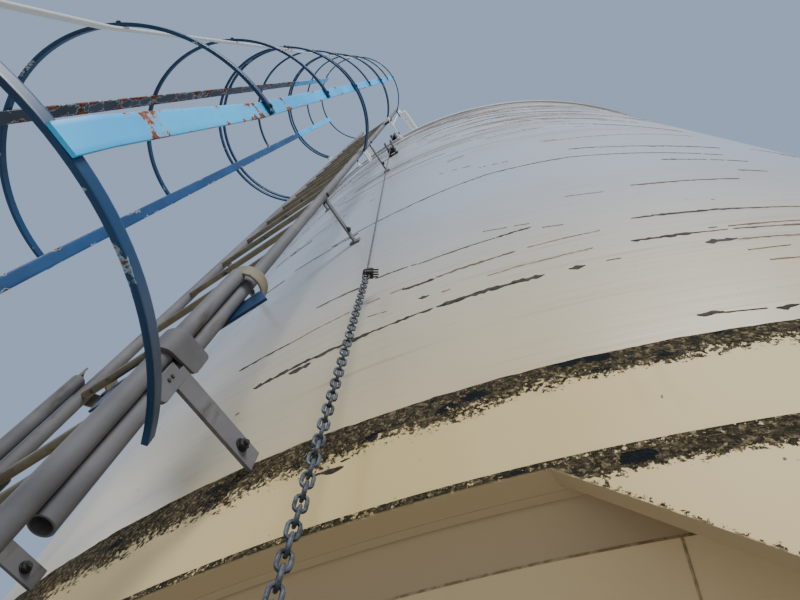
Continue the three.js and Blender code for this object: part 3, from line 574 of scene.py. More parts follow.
# Polyester gelcoat over wound glass fibre, decades outdoors: yellowed cream below, turning to a cool
# grey higher up, a painted reflection of the sky; with fine level ripples from the winding, and grime
# that settles in level streaks and turns to brown patches under the rim. Its cut underside takes a
# darker tan like the hopper's laminate, painted shade.
def gelcoat(name, low, high, streaks, grime):
    material, tree, place = start_material(name)
    under = add(tree, "Attribute", output="Fac", attribute_name="under")
    height = add(tree, "SeparateXYZ", {0: place}, output=2)
    # Height ramps; the first lays on the upper colour, a painted reflection of the sky.
    sky_reflection, upper, rim = (
        add(tree, "MapRange", {0: height, 1: start, 2: end}, interpolation_type="SMOOTHSTEP")
        for start, end in ((2.2, 3.5), (3.8, 5.4), (5.4, 6.3))
    )
    clouds = spots(tree, place, 1.3, 0.35, 0.7, shares=[0.25])
    fine = spots(tree, place, 2.2, 0.50, 0.80, 8.0, 0.7, (1, 1, 26), [streaks])
    threads = spots(tree, place, 1.5, 0.51, 0.58, 8.0, 0.68, (0.4, 0.4, 9), [upper, grime])
    brown = spots(tree, place, 1.3, 0.47, 0.55, 8.0, 0.70, (0.8, 0.8, 6), [rim, grime])
    specks = spots(tree, place, 38, 0.74, 0.78, detail=2.0)
    # The underside's darker tan is painted shade.
    base = layered(
        tree, low, (sky_reflection, high), (clouds, "#A39A86"), (fine, "#8C7A5E"), (threads, "#5E4C3A"),
        (brown, "#3F2F22"), (specks, "#5E5138"), (under, "#B9A37B"),
    )
    level = add(tree, "Mapping", {"Vector": place, "Scale": (1, 1, 26)})
    ripple = add(tree, "TexNoise", {"Vector": level, "Scale": 1.6, "Detail": 3.0})
    dull = add(tree, "MapRange", {0: brown, 3: 0.30, 4: 0.7})
    finish_material(tree, {"Base Color": base, "Roughness": dull, "IOR": 1.5}, ripple, 0.0012, 0.5)
    return material


# The same gelcoat where moss, algae and lichen grow on and under the ledges: the mesh says how
# thick they are, and a grain of crumbs a few millimetres wide breaks up their edge. Damp hollows
# hold blue-black algae in round blots about 40 mm across.
def mossy_gelcoat():
    material, tree, place = start_material("mossy gelcoat")
    under, moss = (
        add(tree, "Attribute", output="Fac", attribute_name=field) for field in ("under", "moss")
    )
    outside = add(tree, "Math", {0: 1.0, 1: under}, operation="SUBTRACT")
    clouds = spots(tree, place, 1.7, 0.3, 0.7)
    runs = spots(tree, place, 2.0, 0.55, 0.8, stretch=(9, 9, 0.8), shares=[0.3])
    specks = spots(tree, place, 46, 0.72, 0.75, detail=2.0)
    grain = spots(tree, place, 150, 0.24, 0.72, 5.0, 0.75)
    edge = add(tree, "Math", {0: moss, 1: grain})
    cover = add(tree, "MapRange", {0: edge, 1: 1.0, 2: 1.08})
    cover = add(tree, "Math", {0: cover, 1: outside}, operation="MULTIPLY")
    tuft = spots(tree, place, 130, 0.36, 0.64, 5.0, 0.75)
    pale = spots(tree, place, 160, 0.56, 0.62, detail=3.0)
    squat = add(tree, "Mapping", {"Vector": place, "Scale": (1, 1, 1.5)})
    cells = add(tree, "TexVoronoi", {"Vector": squat, "Scale": 15.0})
    blots = add(tree, "Math", {0: grain, 1: -0.22, 2: 0.50}, operation="MULTIPLY_ADD")
    blots = add(tree, "Math", {0: blots, 1: cells}, operation="SUBTRACT")
    blots = add(tree, "MapRange", {0: blots, 1: 0.08, 2: 0.14})
    deep = add(tree, "MapRange", {0: moss, 1: 0.55, 2: 0.85})
    blots = add(tree, "Math", {0: blots, 1: deep}, operation="MULTIPLY")
    growth = layered(tree, "#201D13", (tuft, "#665940"), (pale, "#94835D"), (blots, "#14191A"))
    # Faces that look down, and the legs' inner skin, take the darker tan of painted shade.
    base = layered(
        tree, "#D2BB86", (clouds, "#C9B17A"), (runs, "#A8905C"), (specks, "#4C4331"),
        (cover, growth), (under, "#B9A37B"),
    )
    dull = add(tree, "MapRange", {0: cover, 3: 0.55, 4: 0.95})
    lump = add(tree, "Math", {0: tuft, 1: cover}, operation="MULTIPLY")
    shine = {"Base Color": base, "Roughness": dull, "Specular IOR Level": 0.2}
    finish_material(tree, shine, lump, 0.003)
    return material


# Growth in the wall's level winding lines: dry black-brown lichen crust, quite matt, in other lines
# only a brown stain with crumbs in it.
def lichen_crust():
    material, tree, place = start_material("lichen crust")
    tone = add(tree, "Attribute", output="Fac", attribute_name="stain")
    patch = spots(tree, place, 60, 0.35, 0.65, detail=6.0)
    crust = layered(tree, "#1F1A15", (patch, "#46372A"))
    stain = layered(tree, "#8A6B4C", (patch, "#B09878"))
    base = layered(tree, crust, (tone, stain))
    finish_material(tree, {"Base Color": base, "Roughness": 0.9}, patch, 0.002)
    return material


# Hand-laid polyester laminate, painted once and never washed: matt, even tan, a little darker above
# the lap of its two shells.
def laminate():
    material, tree, place = start_material("hand laid laminate")
    upper = add(tree, "Attribute", output="Fac", attribute_name="upper")
    clouds = spots(tree, place, 0.9, 0.3, 0.75, detail=3.0)
    base = layered(tree, "#E2C99A", (clouds, "#D8BF90"), (upper, "#B8A07A"))
    strands = add(tree, "TexNoise", {"Vector": place, "Scale": 55.0, "Detail": 4.0})
    finish_material(tree, {"Base Color": base, "Roughness": 0.6}, strands, 0.0006)
    return material


# Resin squeezed out of the laps in the hopper: thin dark lines, paler here and there.
def resin():
    layers = [(90, 0.40, 0.60, (1, 1, 1), "#B09A75")]
    return coat("dark lap resin", "#8A7450", layers, 0.6, 0.0005, detail=4.0)


# Chalky grey paint on steel tube, with grime that runs down it and a few rust spots.
def grey_paint():
    layers = [
        (6, 0.3, 0.7, (1, 1, 1), "#5A5859"),
        (9, 0.55, 0.8, (3, 3, 0.7), "#423B33"),
        (24, 0.70, 0.75, (1, 1, 1), "#6A4226"),
    ]
    return coat("grey painted steel", "#6C6A6B", layers, 0.7, 0.0004, detail=6.0, specular=0.3)


# Rungs: the same paint worn to a dirty beige by boots and weather.
def rung_paint():
    layers = [(14, 0.3, 0.7, (1, 1, 1), "#635B4A"), (40, 0.6, 0.72, (1, 1, 1), "#342C20")]
    return coat("worn beige paint", "#7C735E", layers, 0.75, 0.0006, detail=6.0, bump=1)


# Enamel brushed on mild steel flats: it chips at the edges, where red-brown rust spreads under it
# and leaves a pale undercoat rim; the older the flat, the more it chips. The light copy is the blue
# in painted sunlight, the darker copies the same blue in painted shade.
def blue_enamel(name, light, deep, wear):
    material, tree, place = start_material(name)
    near = add(tree, "Attribute", output="Fac", attribute_name="edge")
    noise = add(tree, "TexNoise", {"Vector": place, "Scale": 13.0, "Detail": 8.0, "Roughness": 0.65})
    chip = add(tree, "Math", {0: near, 1: 0.10, 2: noise}, operation="MULTIPLY_ADD")
    rust = add(tree, "MapRange", {0: chip, 1: wear, 2: wear + 0.012})
    rim = add(tree, "MapRange", {0: chip, 1: wear - 0.03, 2: wear - 0.015})
    clouds = spots(tree, place, 5, 0.3, 0.7, detail=6.0)
    crust = layered(tree, "#4A2A1C", (spots(tree, place, 60, 0.35, 0.65), "#8C5138"))
    base = layered(tree, light, (clouds, deep), (rim, "#8FA9B5"), (rust, crust))
    dull = add(tree, "MapRange", {0: rust, 3: 0.38, 4: 0.9})
    shine = {"Base Color": base, "Roughness": dull, "Specular IOR Level": 0.35}
    finish_material(tree, shine, rim, 0.0004)
    return material


# White enamel on the rails, chipped here and there. On the top arms and on the double hoops' legs its white
# is painted sunlight.
def pale_enamel_and_sunlight():
    layers = [(12, 0.55, 0.8, (1, 1, 1), "#CFC8B8"), (30, 0.71, 0.75, (1, 1, 1), "#7A4A2C")]
    return coat("pale enamel and painted sunlight", "#F1EFE8", layers, 0.35, 0.0003, detail=6.0)


# Zinc on chain, rope and clips: dull blue-grey with a spangle too fine to see and dark dirt.
def weathered_zinc(name, light, dark):
    material, tree, place = start_material(name)
    patch = spots(tree, place, 120, 0.3, 0.7, detail=5.0)
    base = layered(tree, light, (patch, dark))
    dull = add(tree, "MapRange", {0: patch, 3: 0.45, 4: 0.65})
    finish_material(tree, {"Base Color": base, "Roughness": dull, "Metallic": 0.5}, patch, 0.0003)
    return material


# Bolts and nuts: zinc gone, brown-black rust.
def rusty_bolt():
    layers = [(150, 0.35, 0.65, (1, 1, 1), "#47403A")]
    return coat("rusty bolt steel", "#2E3033", layers, 0.7, 0.0004, metal=0.4)


# The saddles' bolts: red-brown primer gone dark.
def red_oxide():
    layers = [(110, 0.35, 0.65, (1, 1, 1), "#55281E")]
    return coat("red oxide primer", "#2E1512", layers, 0.75, 0.0004)


# Black paint on the roller and its cheeks.
def black_paint():
    layers = [(40, 0.4, 0.7, (1, 1, 1), "#4A4138")]
    return coat("black painted steel", "#24282C", layers, 0.55, 0.0004)


def add_camera():
    """The camera as the photograph has it: on the ground close to the skirt, looking steeply up."""
    camera = bpy.data.objects.new("camera", bpy.data.cameras.new("camera"))
    camera.data.sensor_width = SENSOR
    camera.data.lens = CAMERA_LENS
    camera.data.clip_start = 0.02
    camera.matrix_world = (
        Matrix.Translation(CAMERA_AT)
        @ Matrix.Rotation(math.radians(CAMERA_HEADING), 4, "Z")
        @ Matrix.Rotation(math.radians(90 + CAMERA_ELEVATION), 4, "X")
        @ Matrix.Rotation(math.radians(CAMERA_ROLL), 4, "Z")
    )
    bpy.context.scene.collection.objects.link(camera)
    bpy.context.scene.camera = camera


def rope_shape(start, end):
    """A laid rope: its radius dips between the strands, and the dips turn once in each lay length."""
    run = np.linalg.norm(end - start)
    at = np.linspace(0, run, int(run / ROPE) + 1)[:, None, None]
    along = unit(end - start)
    side = unit(np.cross(along, SIDEWAYS))
    third = np.cross(along, side)
    t = (np.arange(24) * 2 * np.pi / 24)[:, None]
    dips = 1 - 0.16 * np.abs(np.sin((t - 2 * np.pi * at / ROPE_LAY) * ROPE_STRANDS / 2))
    points = start + at * along + ROPE / 2 * dips * (np.cos(t) * side + np.sin(t) * third)
    return outward(grid(points, False, True, capped=True))


def chain_shape(start, end, face):
    """Links one pitch apart, every second one turned a quarter: each is a round wire carried round
    two half circles and the straights between them."""
    along = unit(end - start)
    run = np.linalg.norm(end - start)
    count = int((run - CHAIN_WIRE) / CHAIN_PITCH)
    pitch = (run - 2 * CHAIN_WIRE) / count
    face = unit(face - (face @ along) * along)
    across = np.cross(along, face)
    bend = CHAIN_WIDTH / 2 - CHAIN_WIRE / 2
    straight = (pitch + CHAIN_WIRE) / 2 - bend
    t = np.concatenate([np.linspace(-np.pi / 2, np.pi / 2, 7), np.linspace(np.pi / 2, 3 * np.pi / 2, 7)])
    lift = np.where(np.arange(14) < 7, straight, -straight)
    loop = np.stack([bend * np.cos(t) + lift, bend * np.sin(t)], -1)
    shapes = []
    for i in range(count):
        middle = start + along * (CHAIN_WIRE + pitch * (i + 0.5))
        wide, flat = (across, face) if i % 2 == 0 else (face, across)
        path = middle + loop[:, :1] * along + loop[:, 1:] * wide
        shapes.append(carried(circle(CHAIN_WIRE, 8), path, flat, closed=True))
    return joined(shapes)


def clip_shape(top, bottom, out):
    """Two wire rope clips: a saddle, a U bolt round the rope, and two nuts with thread ends."""
    along = unit(bottom - top)
    out = unit(out - (out @ along) * along)
    across = np.cross(along, out)
    t = np.linspace(-np.pi / 2, np.pi / 2, 9)[:, None]
    shapes = []
    for share in CLIP_PLACES:
        at = top + (bottom - top) * share
        shapes.append(block(CLIP_SADDLE, at + out * CLIP_WIRE, across, along))
        path = np.concatenate([
            [at + out * CLIP_LEG - across * CLIP_HALF],
            at - out * (0.002 + CLIP_HALF * np.cos(t)) + across * CLIP_HALF * np.sin(t),
            [at + out * CLIP_LEG + across * CLIP_HALF],
        ])
        shapes.append(carried(circle(CLIP_WIRE, 8), path, along))
        for side in (-1, 1):
            shapes.append(hex_bolt(at + out * 0.0085 + across * side * CLIP_HALF, out, "clip"))
    return joined(shapes)


def rope_eye(top, bottom, across):
    """The rope's end turned back on itself in an eye: a drop-shaped loop that meets its own rope."""
    along = unit(bottom - top)
    across = unit(across - (across @ along) * along)
    run = np.linalg.norm(bottom - top)
    t = np.linspace(0, 1, 41)
    reach = run * (0.5 - 0.5 * np.cos(2 * np.pi * t))
    wide = 0.0065 * np.sin(2 * np.pi * t) * np.sqrt(np.clip(reach / run, 0, 1)) + 0.0032 * (1 - 2 * t)
    path = top + reach[:, None] * along + wide[:, None] * across
    return carried(circle(ROPE, 10), path, np.cross(along, across))


def add_pull_line(zinc, clips_steel):
    """The rope from the roller, its clips and eye, the chain, and the hook it ends in."""
    start = rope_start()
    clip = on_silo(*CLIP_END)
    end = on_silo(*CHAIN_END)
    down = unit(clip - start)
    clip_top = clip - CLIP_LENGTH * down
    rope_end = clip_top - GAP * down
    on = unit(end - clip)
    chain_top = clip + 2 * GAP * on
    rope = make_piece(
        "pull_rope_strands", rope_shape(start, rope_end),
        weathered_zinc("galvanised wire rope", "#5A5C60", "#303236"), ["pull_rope"],
    )
    out = np.array(CLIP_FACE)
    eye_top = clip_top + 0.3 * (clip - clip_top)
    clips = make_piece(
        "rope_clips_and_eye",
        joined([
            clip_shape(clip_top, clip, out),
            rod(clip_top, eye_top, ROPE, 10),
            rope_eye(eye_top, clip - 0.002 * down, out),
        ]),
        clips_steel, ["rope_clips"],
    )
    chain = make_piece(
        "pull_chain_links", chain_shape(chain_top, end, np.array(CHAIN_FACE)),
        zinc, ["pull_chain"],
    )
    hook_top, hook_end = end + GAP * on, end + HOOK_LENGTH * on
    ring = (HOOK_WIDTH - HOOK_WIRE) / 2
    t = np.linspace(0, 2 * np.pi, 33)[:-1]
    reach = np.clip(np.cos(t) * 1.9, -1, 1) * (HOOK_LENGTH / 2 - 0.004)
    path = (hook_top + hook_end) / 2 + reach[:, None] * on + (ring * np.sin(t))[:, None] * SIDEWAYS
    hook = make_piece(
        "chain_snap_hook", carried(circle(HOOK_WIRE, 12), path, FORWARD, closed=True),
        zinc, ["chain_hook"],
    )


def wall_swell(angles, z):
    """How far the wound skin stands out of true: hills 0.7 m apart, none at the two ends."""
    ends = step(z, RING_TOP, RING_TOP + 0.3) * step(ROOF_LIP_BOTTOM - z, 0.0, 0.25)
    return 0.003 * (hills(along_wall(angles), z, 0.7, 3, WALL_AROUND) - 0.5) * ends


def add_wall(material):
    """The wound shell: a cylinder whose skin swells and sinks by a millimetre or so."""
    angles = all_round(480)
    z = np.concatenate([
        [WALL_BOTTOM, RING_TOP - 0.01], np.linspace(RING_TOP + 0.02, ROOF_LIP_BOTTOM, 90), [WALL_TOP - GAP]
    ])[:, None]
    outer = on_silo(angles, WALL_OUTER + wall_swell(*np.broadcast_arrays(angles, z)), z)
    inner = on_silo(angles, WALL_OUTER - WALL_THICK, z[[-1, 0]])
    # The rows at the wall's foot are marked for the underside's darker tan, painted shade.
    under = np.zeros((len(z) + 2, 1))
    under[[0, -1]] = 1
    shape = outward(grid(np.concatenate([outer, inner]), True, True, under=under))
    make_piece("wound_wall", shape, material, [f"wall_segment_{i}" for i in range(1, 5)])


def crust_line(low, high, width, share, seed, pace=0.003, stain=0.0):
    """A line of growth from one angle and height to another: a low ridge whose half width is the
    width times a random walk of hills, and which breaks off where the walk falls under what the
    share leaves bare. It follows the wall's swells."""
    radius = RING_OUTER if low[1] < RING_TOP else WALL_OUTER
    count = max(12, int(math.radians(high[0] - low[0]) * radius / pace))
    angles = np.linspace(low[0], high[0], count)
    run = np.radians(angles) * radius
    walk = 0.40 * hills(run, run * 0, 0.11, seed) + 0.30 * hills(run, run * 0, 0.028, seed + 1)
    walk = walk + 0.30 * hills(run, run * 0, 0.011, seed + 2)
    ends = step(angles, low[0], low[0] + 0.3) * step(-angles, -high[0], -high[0] + 0.3)
    half = width * np.clip((walk - 0.66 + 0.55 * share) / 0.22, 0, 1.5) * ends
    ragged = np.stack([hills(run, run * 0, 0.008, seed + i) for i in (5, 6)], -1)
    half = half[:, None] * (0.35 + 1.1 * ragged)
    z = np.interp(angles, [low[0], high[0]], [low[1], high[1]])
    z = z + 0.010 * (hills(run, run * 0, 0.4, seed + 3) - 0.5) + 0.004 * hills(run, run * 0, 0.05, seed + 4)
    inside = half.min(-1) > 0.0003
    edges = np.flatnonzero(np.diff(np.concatenate([[0], inside.astype(int), [0]])))
    lift = np.array([[-0.0003, 0.0013, -0.0003, -0.0030]])
    pieces = []
    for first, last in zip(edges[::2], edges[1::2]):
        if last - first < 3:
            continue
        a, (down, up) = angles[first:last, None], half[first:last].T
        level = z[first:last, None] + np.stack([-down, 0 * up, up, 0 * up], -1)
        skin = radius + wall_swell(*np.broadcast_arrays(a, level)) if radius == WALL_OUTER else radius
        points = on_silo(a, skin + lift, level)
        pieces.append(outward(grid(points, False, True, capped=True, stain=np.array(stain))))
    return pieces


def add_growth(material):
    """Lines of growth where the photograph shows them, and more of the same round the wall. Each
    has its two ends by angle and height, its half width in millimetres, how much of it has grown
    over, and whether it is only a stain."""
    seen = [
        (2.2, 2.618, 12.0, 2.636, 6.5, 0.95, 0), (12.0, 2.634, 17.2, 2.641, 6.5, 0.90, 0),
        (4.4, 2.608, 5.8, 2.608, 9.0, 1.00, 0), (17.0, 2.643, 20.6, 2.636, 4.0, 0.45, 0.4),
        (18.1, 2.644, 19.0, 2.643, 7.0, 0.90, 0), (-0.4, 2.791, 3.5, 2.778, 4.5, 0.90, 0),
        (3.3, 2.780, 10.4, 2.800, 2.5, 0.70, 0.8), (10.1, 2.800, 12.1, 2.793, 6.0, 0.95, 0),
        (12.0, 2.799, 16.5, 2.806, 5.0, 0.62, 0.3), (16.0, 2.808, 20.8, 2.815, 3.5, 0.60, 0.9),
        (4.1, 2.942, 7.5, 2.935, 4.5, 0.75, 0.2), (8.1, 2.956, 11.0, 2.940, 4.5, 0.85, 0.1),
        (10.9, 2.938, 15.8, 2.943, 5.0, 0.70, 0.1), (15.6, 2.945, 17.8, 2.955, 5.5, 0.90, 0),
        (-9.0, 4.120, -5.9, 4.085, 6.0, 0.60, 0.2), (-6.3, 4.090, -2.7, 4.048, 17.0, 1.00, 0),
        (-2.0, 3.590, 2.4, 3.570, 5.0, 0.80, 0), (2.2, 3.575, 5.0, 3.586, 9.0, 0.90, 0),
        (-5.2, 3.565, -2.7, 3.550, 7.0, 0.85, 0), (11.1, 2.710, 11.8, 2.707, 6.0, 1.00, 0),
        (8.3, 2.720, 10.4, 2.700, 2.5, 0.60, 1.0), (12.2, 2.704, 15.0, 2.712, 3.0, 0.55, 0.6),
        (14.6, 2.713, 19.9, 2.716, 3.0, 0.60, 0.9), (22.5, 2.860, 27.6, 2.843, 5.5, 0.92, 0),
        (27.2, 2.844, 33.0, 2.815, 4.5, 0.80, 0.2), (21.4, 2.724, 24.6, 2.709, 6.5, 0.85, 0),
        (24.2, 2.710, 31.5, 2.690, 5.5, 0.62, 0.3), (24.8, 2.728, 32.0, 2.712, 4.5, 0.55, 0.5),
        (24.0, 2.650, 25.5, 2.650, 9.0, 0.95, 0), (25.3, 2.648, 30.5, 2.640, 4.5, 0.55, 0.5),
        (25.0, 2.590, 27.0, 2.593, 4.0, 0.60, 0.6), (25.0, 2.530, 29.0, 2.520, 3.0, 0.50, 0.8),
        (20.9, 2.378, 21.9, 2.374, 6.0, 1.00, 0), (21.6, 2.380, 23.3, 2.371, 3.5, 0.50, 0.3),
        (23.2, 2.366, 24.1, 2.368, 6.0, 1.00, 0), (18.4, 2.393, 20.0, 2.384, 2.0, 0.50, 0.8),
        (15.0, 2.311, 34.0, 2.310, 3.0, 0.85, 0.8), (17.0, 2.322, 30.0, 2.318, 2.0, 0.60, 0.9),
        (2.0, 3.600, 9.5, 3.634, 5.0, 0.85, 0), (9.3, 3.634, 16.9, 3.716, 6.0, 1.00, 0),
        (16.7, 3.716, 24.0, 3.702, 6.0, 0.95, 0), (23.6, 3.702, 35.0, 3.545, 6.0, 0.90, 0.1),
        (12.4, 4.035, 15.9, 3.980, 8.0, 0.60, 0.2), (16.3, 3.888, 19.2, 3.860, 6.0, 0.60, 0.1),
        (13.4, 4.270, 15.6, 4.292, 9.0, 0.85, 0), (9.6, 5.730, 20.2, 5.745, 17.0, 0.95, 0),
        (19.8, 5.740, 35.0, 5.410, 17.0, 0.95, 0), (11.0, 5.320, 21.3, 5.300, 11.0, 0.85, 0.1),
        (20.9, 5.290, 32.0, 4.910, 11.0, 0.85, 0.1), (23.3, 4.182, 25.0, 4.164, 8.0, 0.80, 0.1),
        (24.6, 3.872, 27.2, 3.832, 8.0, 1.00, 0), (27.0, 3.830, 31.2, 3.776, 6.0, 0.80, 0.1),
        (30.8, 3.778, 36.8, 3.740, 9.0, 0.95, 0), (29.4, 3.476, 30.6, 3.468, 8.0, 1.00, 0),
        (30.4, 3.470, 35.2, 3.420, 5.0, 0.85, 0.1), (32.4, 3.262, 36.2, 3.208, 7.0, 0.60, 0.1),
        (24.7, 3.160, 31.2, 3.137, 5.5, 0.80, 0.2), (15.0, 3.025, 17.9, 2.986, 3.5, 0.70, 0.6),
        (17.7, 2.936, 19.5, 2.915, 3.5, 0.60, 0.5), (20.6, 3.156, 23.0, 3.130, 3.5, 0.50, 0.8),
        (8.1, 2.213, 9.4, 2.208, 4.5, 0.70, 0), (9.0, 2.222, 9.5, 2.224, 4.0, 1.00, 0),
        (12.0, 6.060, 24.0, 6.010, 24.0, 0.80, 0.2), (18.0, 5.930, 35.0, 5.700, 26.0, 0.85, 0.1),
        (6.0, 6.210, 20.0, 6.190, 24.0, 0.75, 0.3), (22.0, 5.130, 38.0, 4.760, 16.0, 0.75, 0.2),
        (20.0, 5.560, 37.0, 5.180, 18.0, 0.70, 0.2), (26.0, 4.740, 40.0, 4.390, 13.0, 0.75, 0.1),
        (9.0, 5.560, 20.0, 5.520, 14.0, 0.65, 0.3), (26.0, 6.020, 40.0, 5.760, 26.0, 0.80, 0.1),
        (14.0, 4.760, 26.0, 4.640, 8.0, 0.55, 0.7), (17.0, 5.020, 30.0, 4.800, 9.0, 0.60, 0.6),
    ]
    shapes = []
    for i, (start, low, end, high, width, share, stain) in enumerate(seen):
        shapes += crust_line((start, low), (end, high), width / 1000, share, 20 + 5 * i, stain=stain)
    chance = np.random.default_rng(5)
    for i in range(420):
        z = 2.45 + 3.95 * chance.random() ** 0.35
        start = -180 + 356 * chance.random()
        reach = chance.uniform(2, 16)
        in_photo = -9 < start + reach and start < 34
        if in_photo and z < 3.95:
            continue
        width = chance.uniform(0.002, 0.006) * (1 + 0.9 * max(0, z - 3.5))
        shapes += crust_line(
            (start, z), (start + reach, z + chance.uniform(-0.01, 0.01)), width, chance.uniform(0.45, 0.9),
            400 + 5 * i, pace=0.009, stain=chance.uniform(0, 0.9),
        )
    make_piece("wall_growth_lines", joined(shapes), material, sharp=80)


def moss_cover(u, below, reach, seed):
    """How thick moss grows below a ledge: full at the ledge and falling ever faster down to its
    reach, which comes and goes along the ledge; hills of 30 mm make its edge ragged."""
    reach = reach * (0.85 + 0.3 * hills(u, below * 0, 0.35, seed, WALL_AROUND))
    ragged = 0.5 * (hills(u, below, 0.030, seed + 1, WALL_AROUND) - 0.5) * step(below, 0.0, 0.02)
    return np.clip(1.25 - 1.25 * (below / reach) ** 1.6 + ragged * (below < reach), 0, 1)


def add_ring(material):
    """The joint ring: a collar round the wall, and under it the ledge that the legs hang from."""
    angles = all_round(1040)
    u = along_wall(angles)
    face = np.linspace(RING_TOP - 0.001, LEDGE, 34)
    profile = np.array(
        [(WALL_OUTER + GAP, WALL_BOTTOM), (WALL_OUTER + GAP, RING_TOP), (RING_OUTER - EDGE, RING_TOP)]
        + [(RING_OUTER, z) for z in face]
        + [(LEG_OUTER - EDGE, LEDGE), (LEG_OUTER, LEDGE - EDGE), (LEG_OUTER, WALL_BOTTOM + EDGE),
           (LEG_OUTER - EDGE, WALL_BOTTOM)]
    )
    r, z = profile[:, :1], profile[:, 1:]
    reach = 0.090 - 0.034 * step(np.abs(angles), 5, 18)
    moss = moss_cover(u, RING_TOP - z, reach, 31)
    lip = 0.52 + 0.33 * hills(u, z, 0.05, 35, WALL_AROUND)
    moss = np.where(z <= LEDGE, lip, moss)
    moss = np.where((r < WALL_OUTER + 0.001) & (z < RING_TOP), 0, moss)
    # The ring's underside is marked for the darker tan of painted shade.
    under = 1.0 * (z < WALL_BOTTOM + 0.001)
    bulge = 0.003 * moss * (0.2 + hills(u, z, 0.016, 37, WALL_AROUND))
    bulge = np.where((z < LEDGE + 0.003) | (r < RING_OUTER - 0.003), 0, bulge)
    shape = outward(grid(on_silo(angles, r + bulge, z), True, True, moss=moss, under=under))
    nodes = [f"skirt_segment_{i}" for i in range(1, 5)]
    make_piece("skirt_joint_ring", shape, material, nodes)


def opening_half(z):
    """Half the width of an opening at a height: upright jambs, then a slope of one in one."""
    return np.where(z < OPENING_SHOULDER, OPENING_HALF, OPENING_TOP_HALF + (WALL_BOTTOM - z))


def add_legs(material):
    """Four legs: a curved shell between two openings, its side edges given by the opening's width
    at each height, with moss under its ledge and a flange at its foot."""
    z = np.concatenate([
        [0.0, 0.4, 0.8, 1.2], np.linspace(OPENING_SHOULDER, 2.0, 24),
        np.linspace(2.006, WALL_BOTTOM - GAP, 22),
    ])
    share = np.concatenate([[0, 0.0015], np.linspace(0.006, 0.994, 150), [0.9985, 1]])
    shapes = []
    for leg in range(4):
        skins = []
        for radius in (LEG_OUTER, LEG_INNER):
            start = np.degrees(np.arcsin(np.clip(opening_half(z), 0, radius) / radius))[:, None]
            angles = leg * 90 + start + (90 - 2 * start) * share[None, :]
            skins.append((angles, on_silo(angles, radius, z[:, None])))
        angles = skins[0][0]
        below = WALL_BOTTOM - z[:, None] + 0 * angles
        moss = moss_cover(along_wall(angles), below, 0.034, 51 + leg)
        edge = np.minimum(share, 1 - share)[None, :] * 2.4
        moss = np.maximum(moss, 0.6 * step(-edge, -0.010, 0.0) * step(z, 1.6, 1.7)[:, None])
        points = np.concatenate([skins[0][1], skins[1][1][:, ::-1]], 1)
        cover = np.concatenate([moss, 0 * moss], 1)
        # The legs' cut edges and whole inner skin are marked for the darker tan of painted shade.
        under = np.concatenate([(edge < 0.001) + 0 * moss, 1 + 0 * moss], 1)
        shapes.append(outward(grid(points, False, True, capped=True, moss=cover, under=under)))
        arc = 90 * leg + np.linspace(*FOOT_ANGLES, 40)
        outer = LEG_INNER - GAP
        foot = np.array([(FOOT_INNER, 0), (outer, 0), (outer, FOOT_THICK), (FOOT_INNER, FOOT_THICK)])
        points = on_silo(arc[:, None], foot[None, :, 0], foot[None, :, 1])
        shapes.append(outward(grid(points, False, True, capped=True)))
    make_piece("skirt_legs", joined(shapes), material, sharp=30)


def hopper_z(radius):
    """Height of the hopper's upper face."""
    return HOPPER_TOP - (WALL_OUTER - radius) * HOPPER_SLOPE


def add_hopper(material, seams):
    """The hopper: a shell cone lapped on its upper ring, with a bead of resin along the lap and down
    each seam of its four sheets."""
    radii = np.concatenate([
        np.linspace(OUTLET_RADIUS, HOPPER_LAP - 0.001, 22), [HOPPER_LAP, HOPPER_LAP + 0.001, HOPPER_OUTER]
    ])
    under = hopper_z(radii) - HOPPER_DROP - np.where(radii < HOPPER_LAP + 0.0005, 0.002, 0)
    inner = HOPPER_OUTER - HOPPER_THICK
    profile = np.concatenate([
        np.stack([radii, under], -1),
        [(HOPPER_OUTER, HOPPER_COLLAR_TOP), (inner, HOPPER_COLLAR_TOP), (inner, hopper_z(inner)),
         (OUTLET_RADIUS, hopper_z(OUTLET_RADIUS))],
    ])
    shape = turned(profile, 720, upper=1.0 * (profile[:, :1] > HOPPER_LAP + 0.0005))
    nodes = [f"hopper_segment_{i}" for i in range(1, 5)]
    make_piece("hopper_shell", shape, material, nodes)
    lap = hopper_z(HOPPER_LAP) - HOPPER_DROP
    bead = [(-0.001, 0), (0, -0.0025), (0.001, 0), (0, 0.001)]
    shapes = [turned(np.array(bead) + (HOPPER_LAP, lap), 720)]
    for seam in HOPPER_SEAM + np.arange(4) * 90:
        run = np.linspace(OUTLET_RADIUS + 0.01, HOPPER_LAP, 60)
        path = on_silo(seam, run, hopper_z(run) - HOPPER_DROP - 0.002)
        shapes.append(carried(circle(0.003, 6), path, UP))
    make_piece("hopper_lap_beads", joined(shapes), seams)


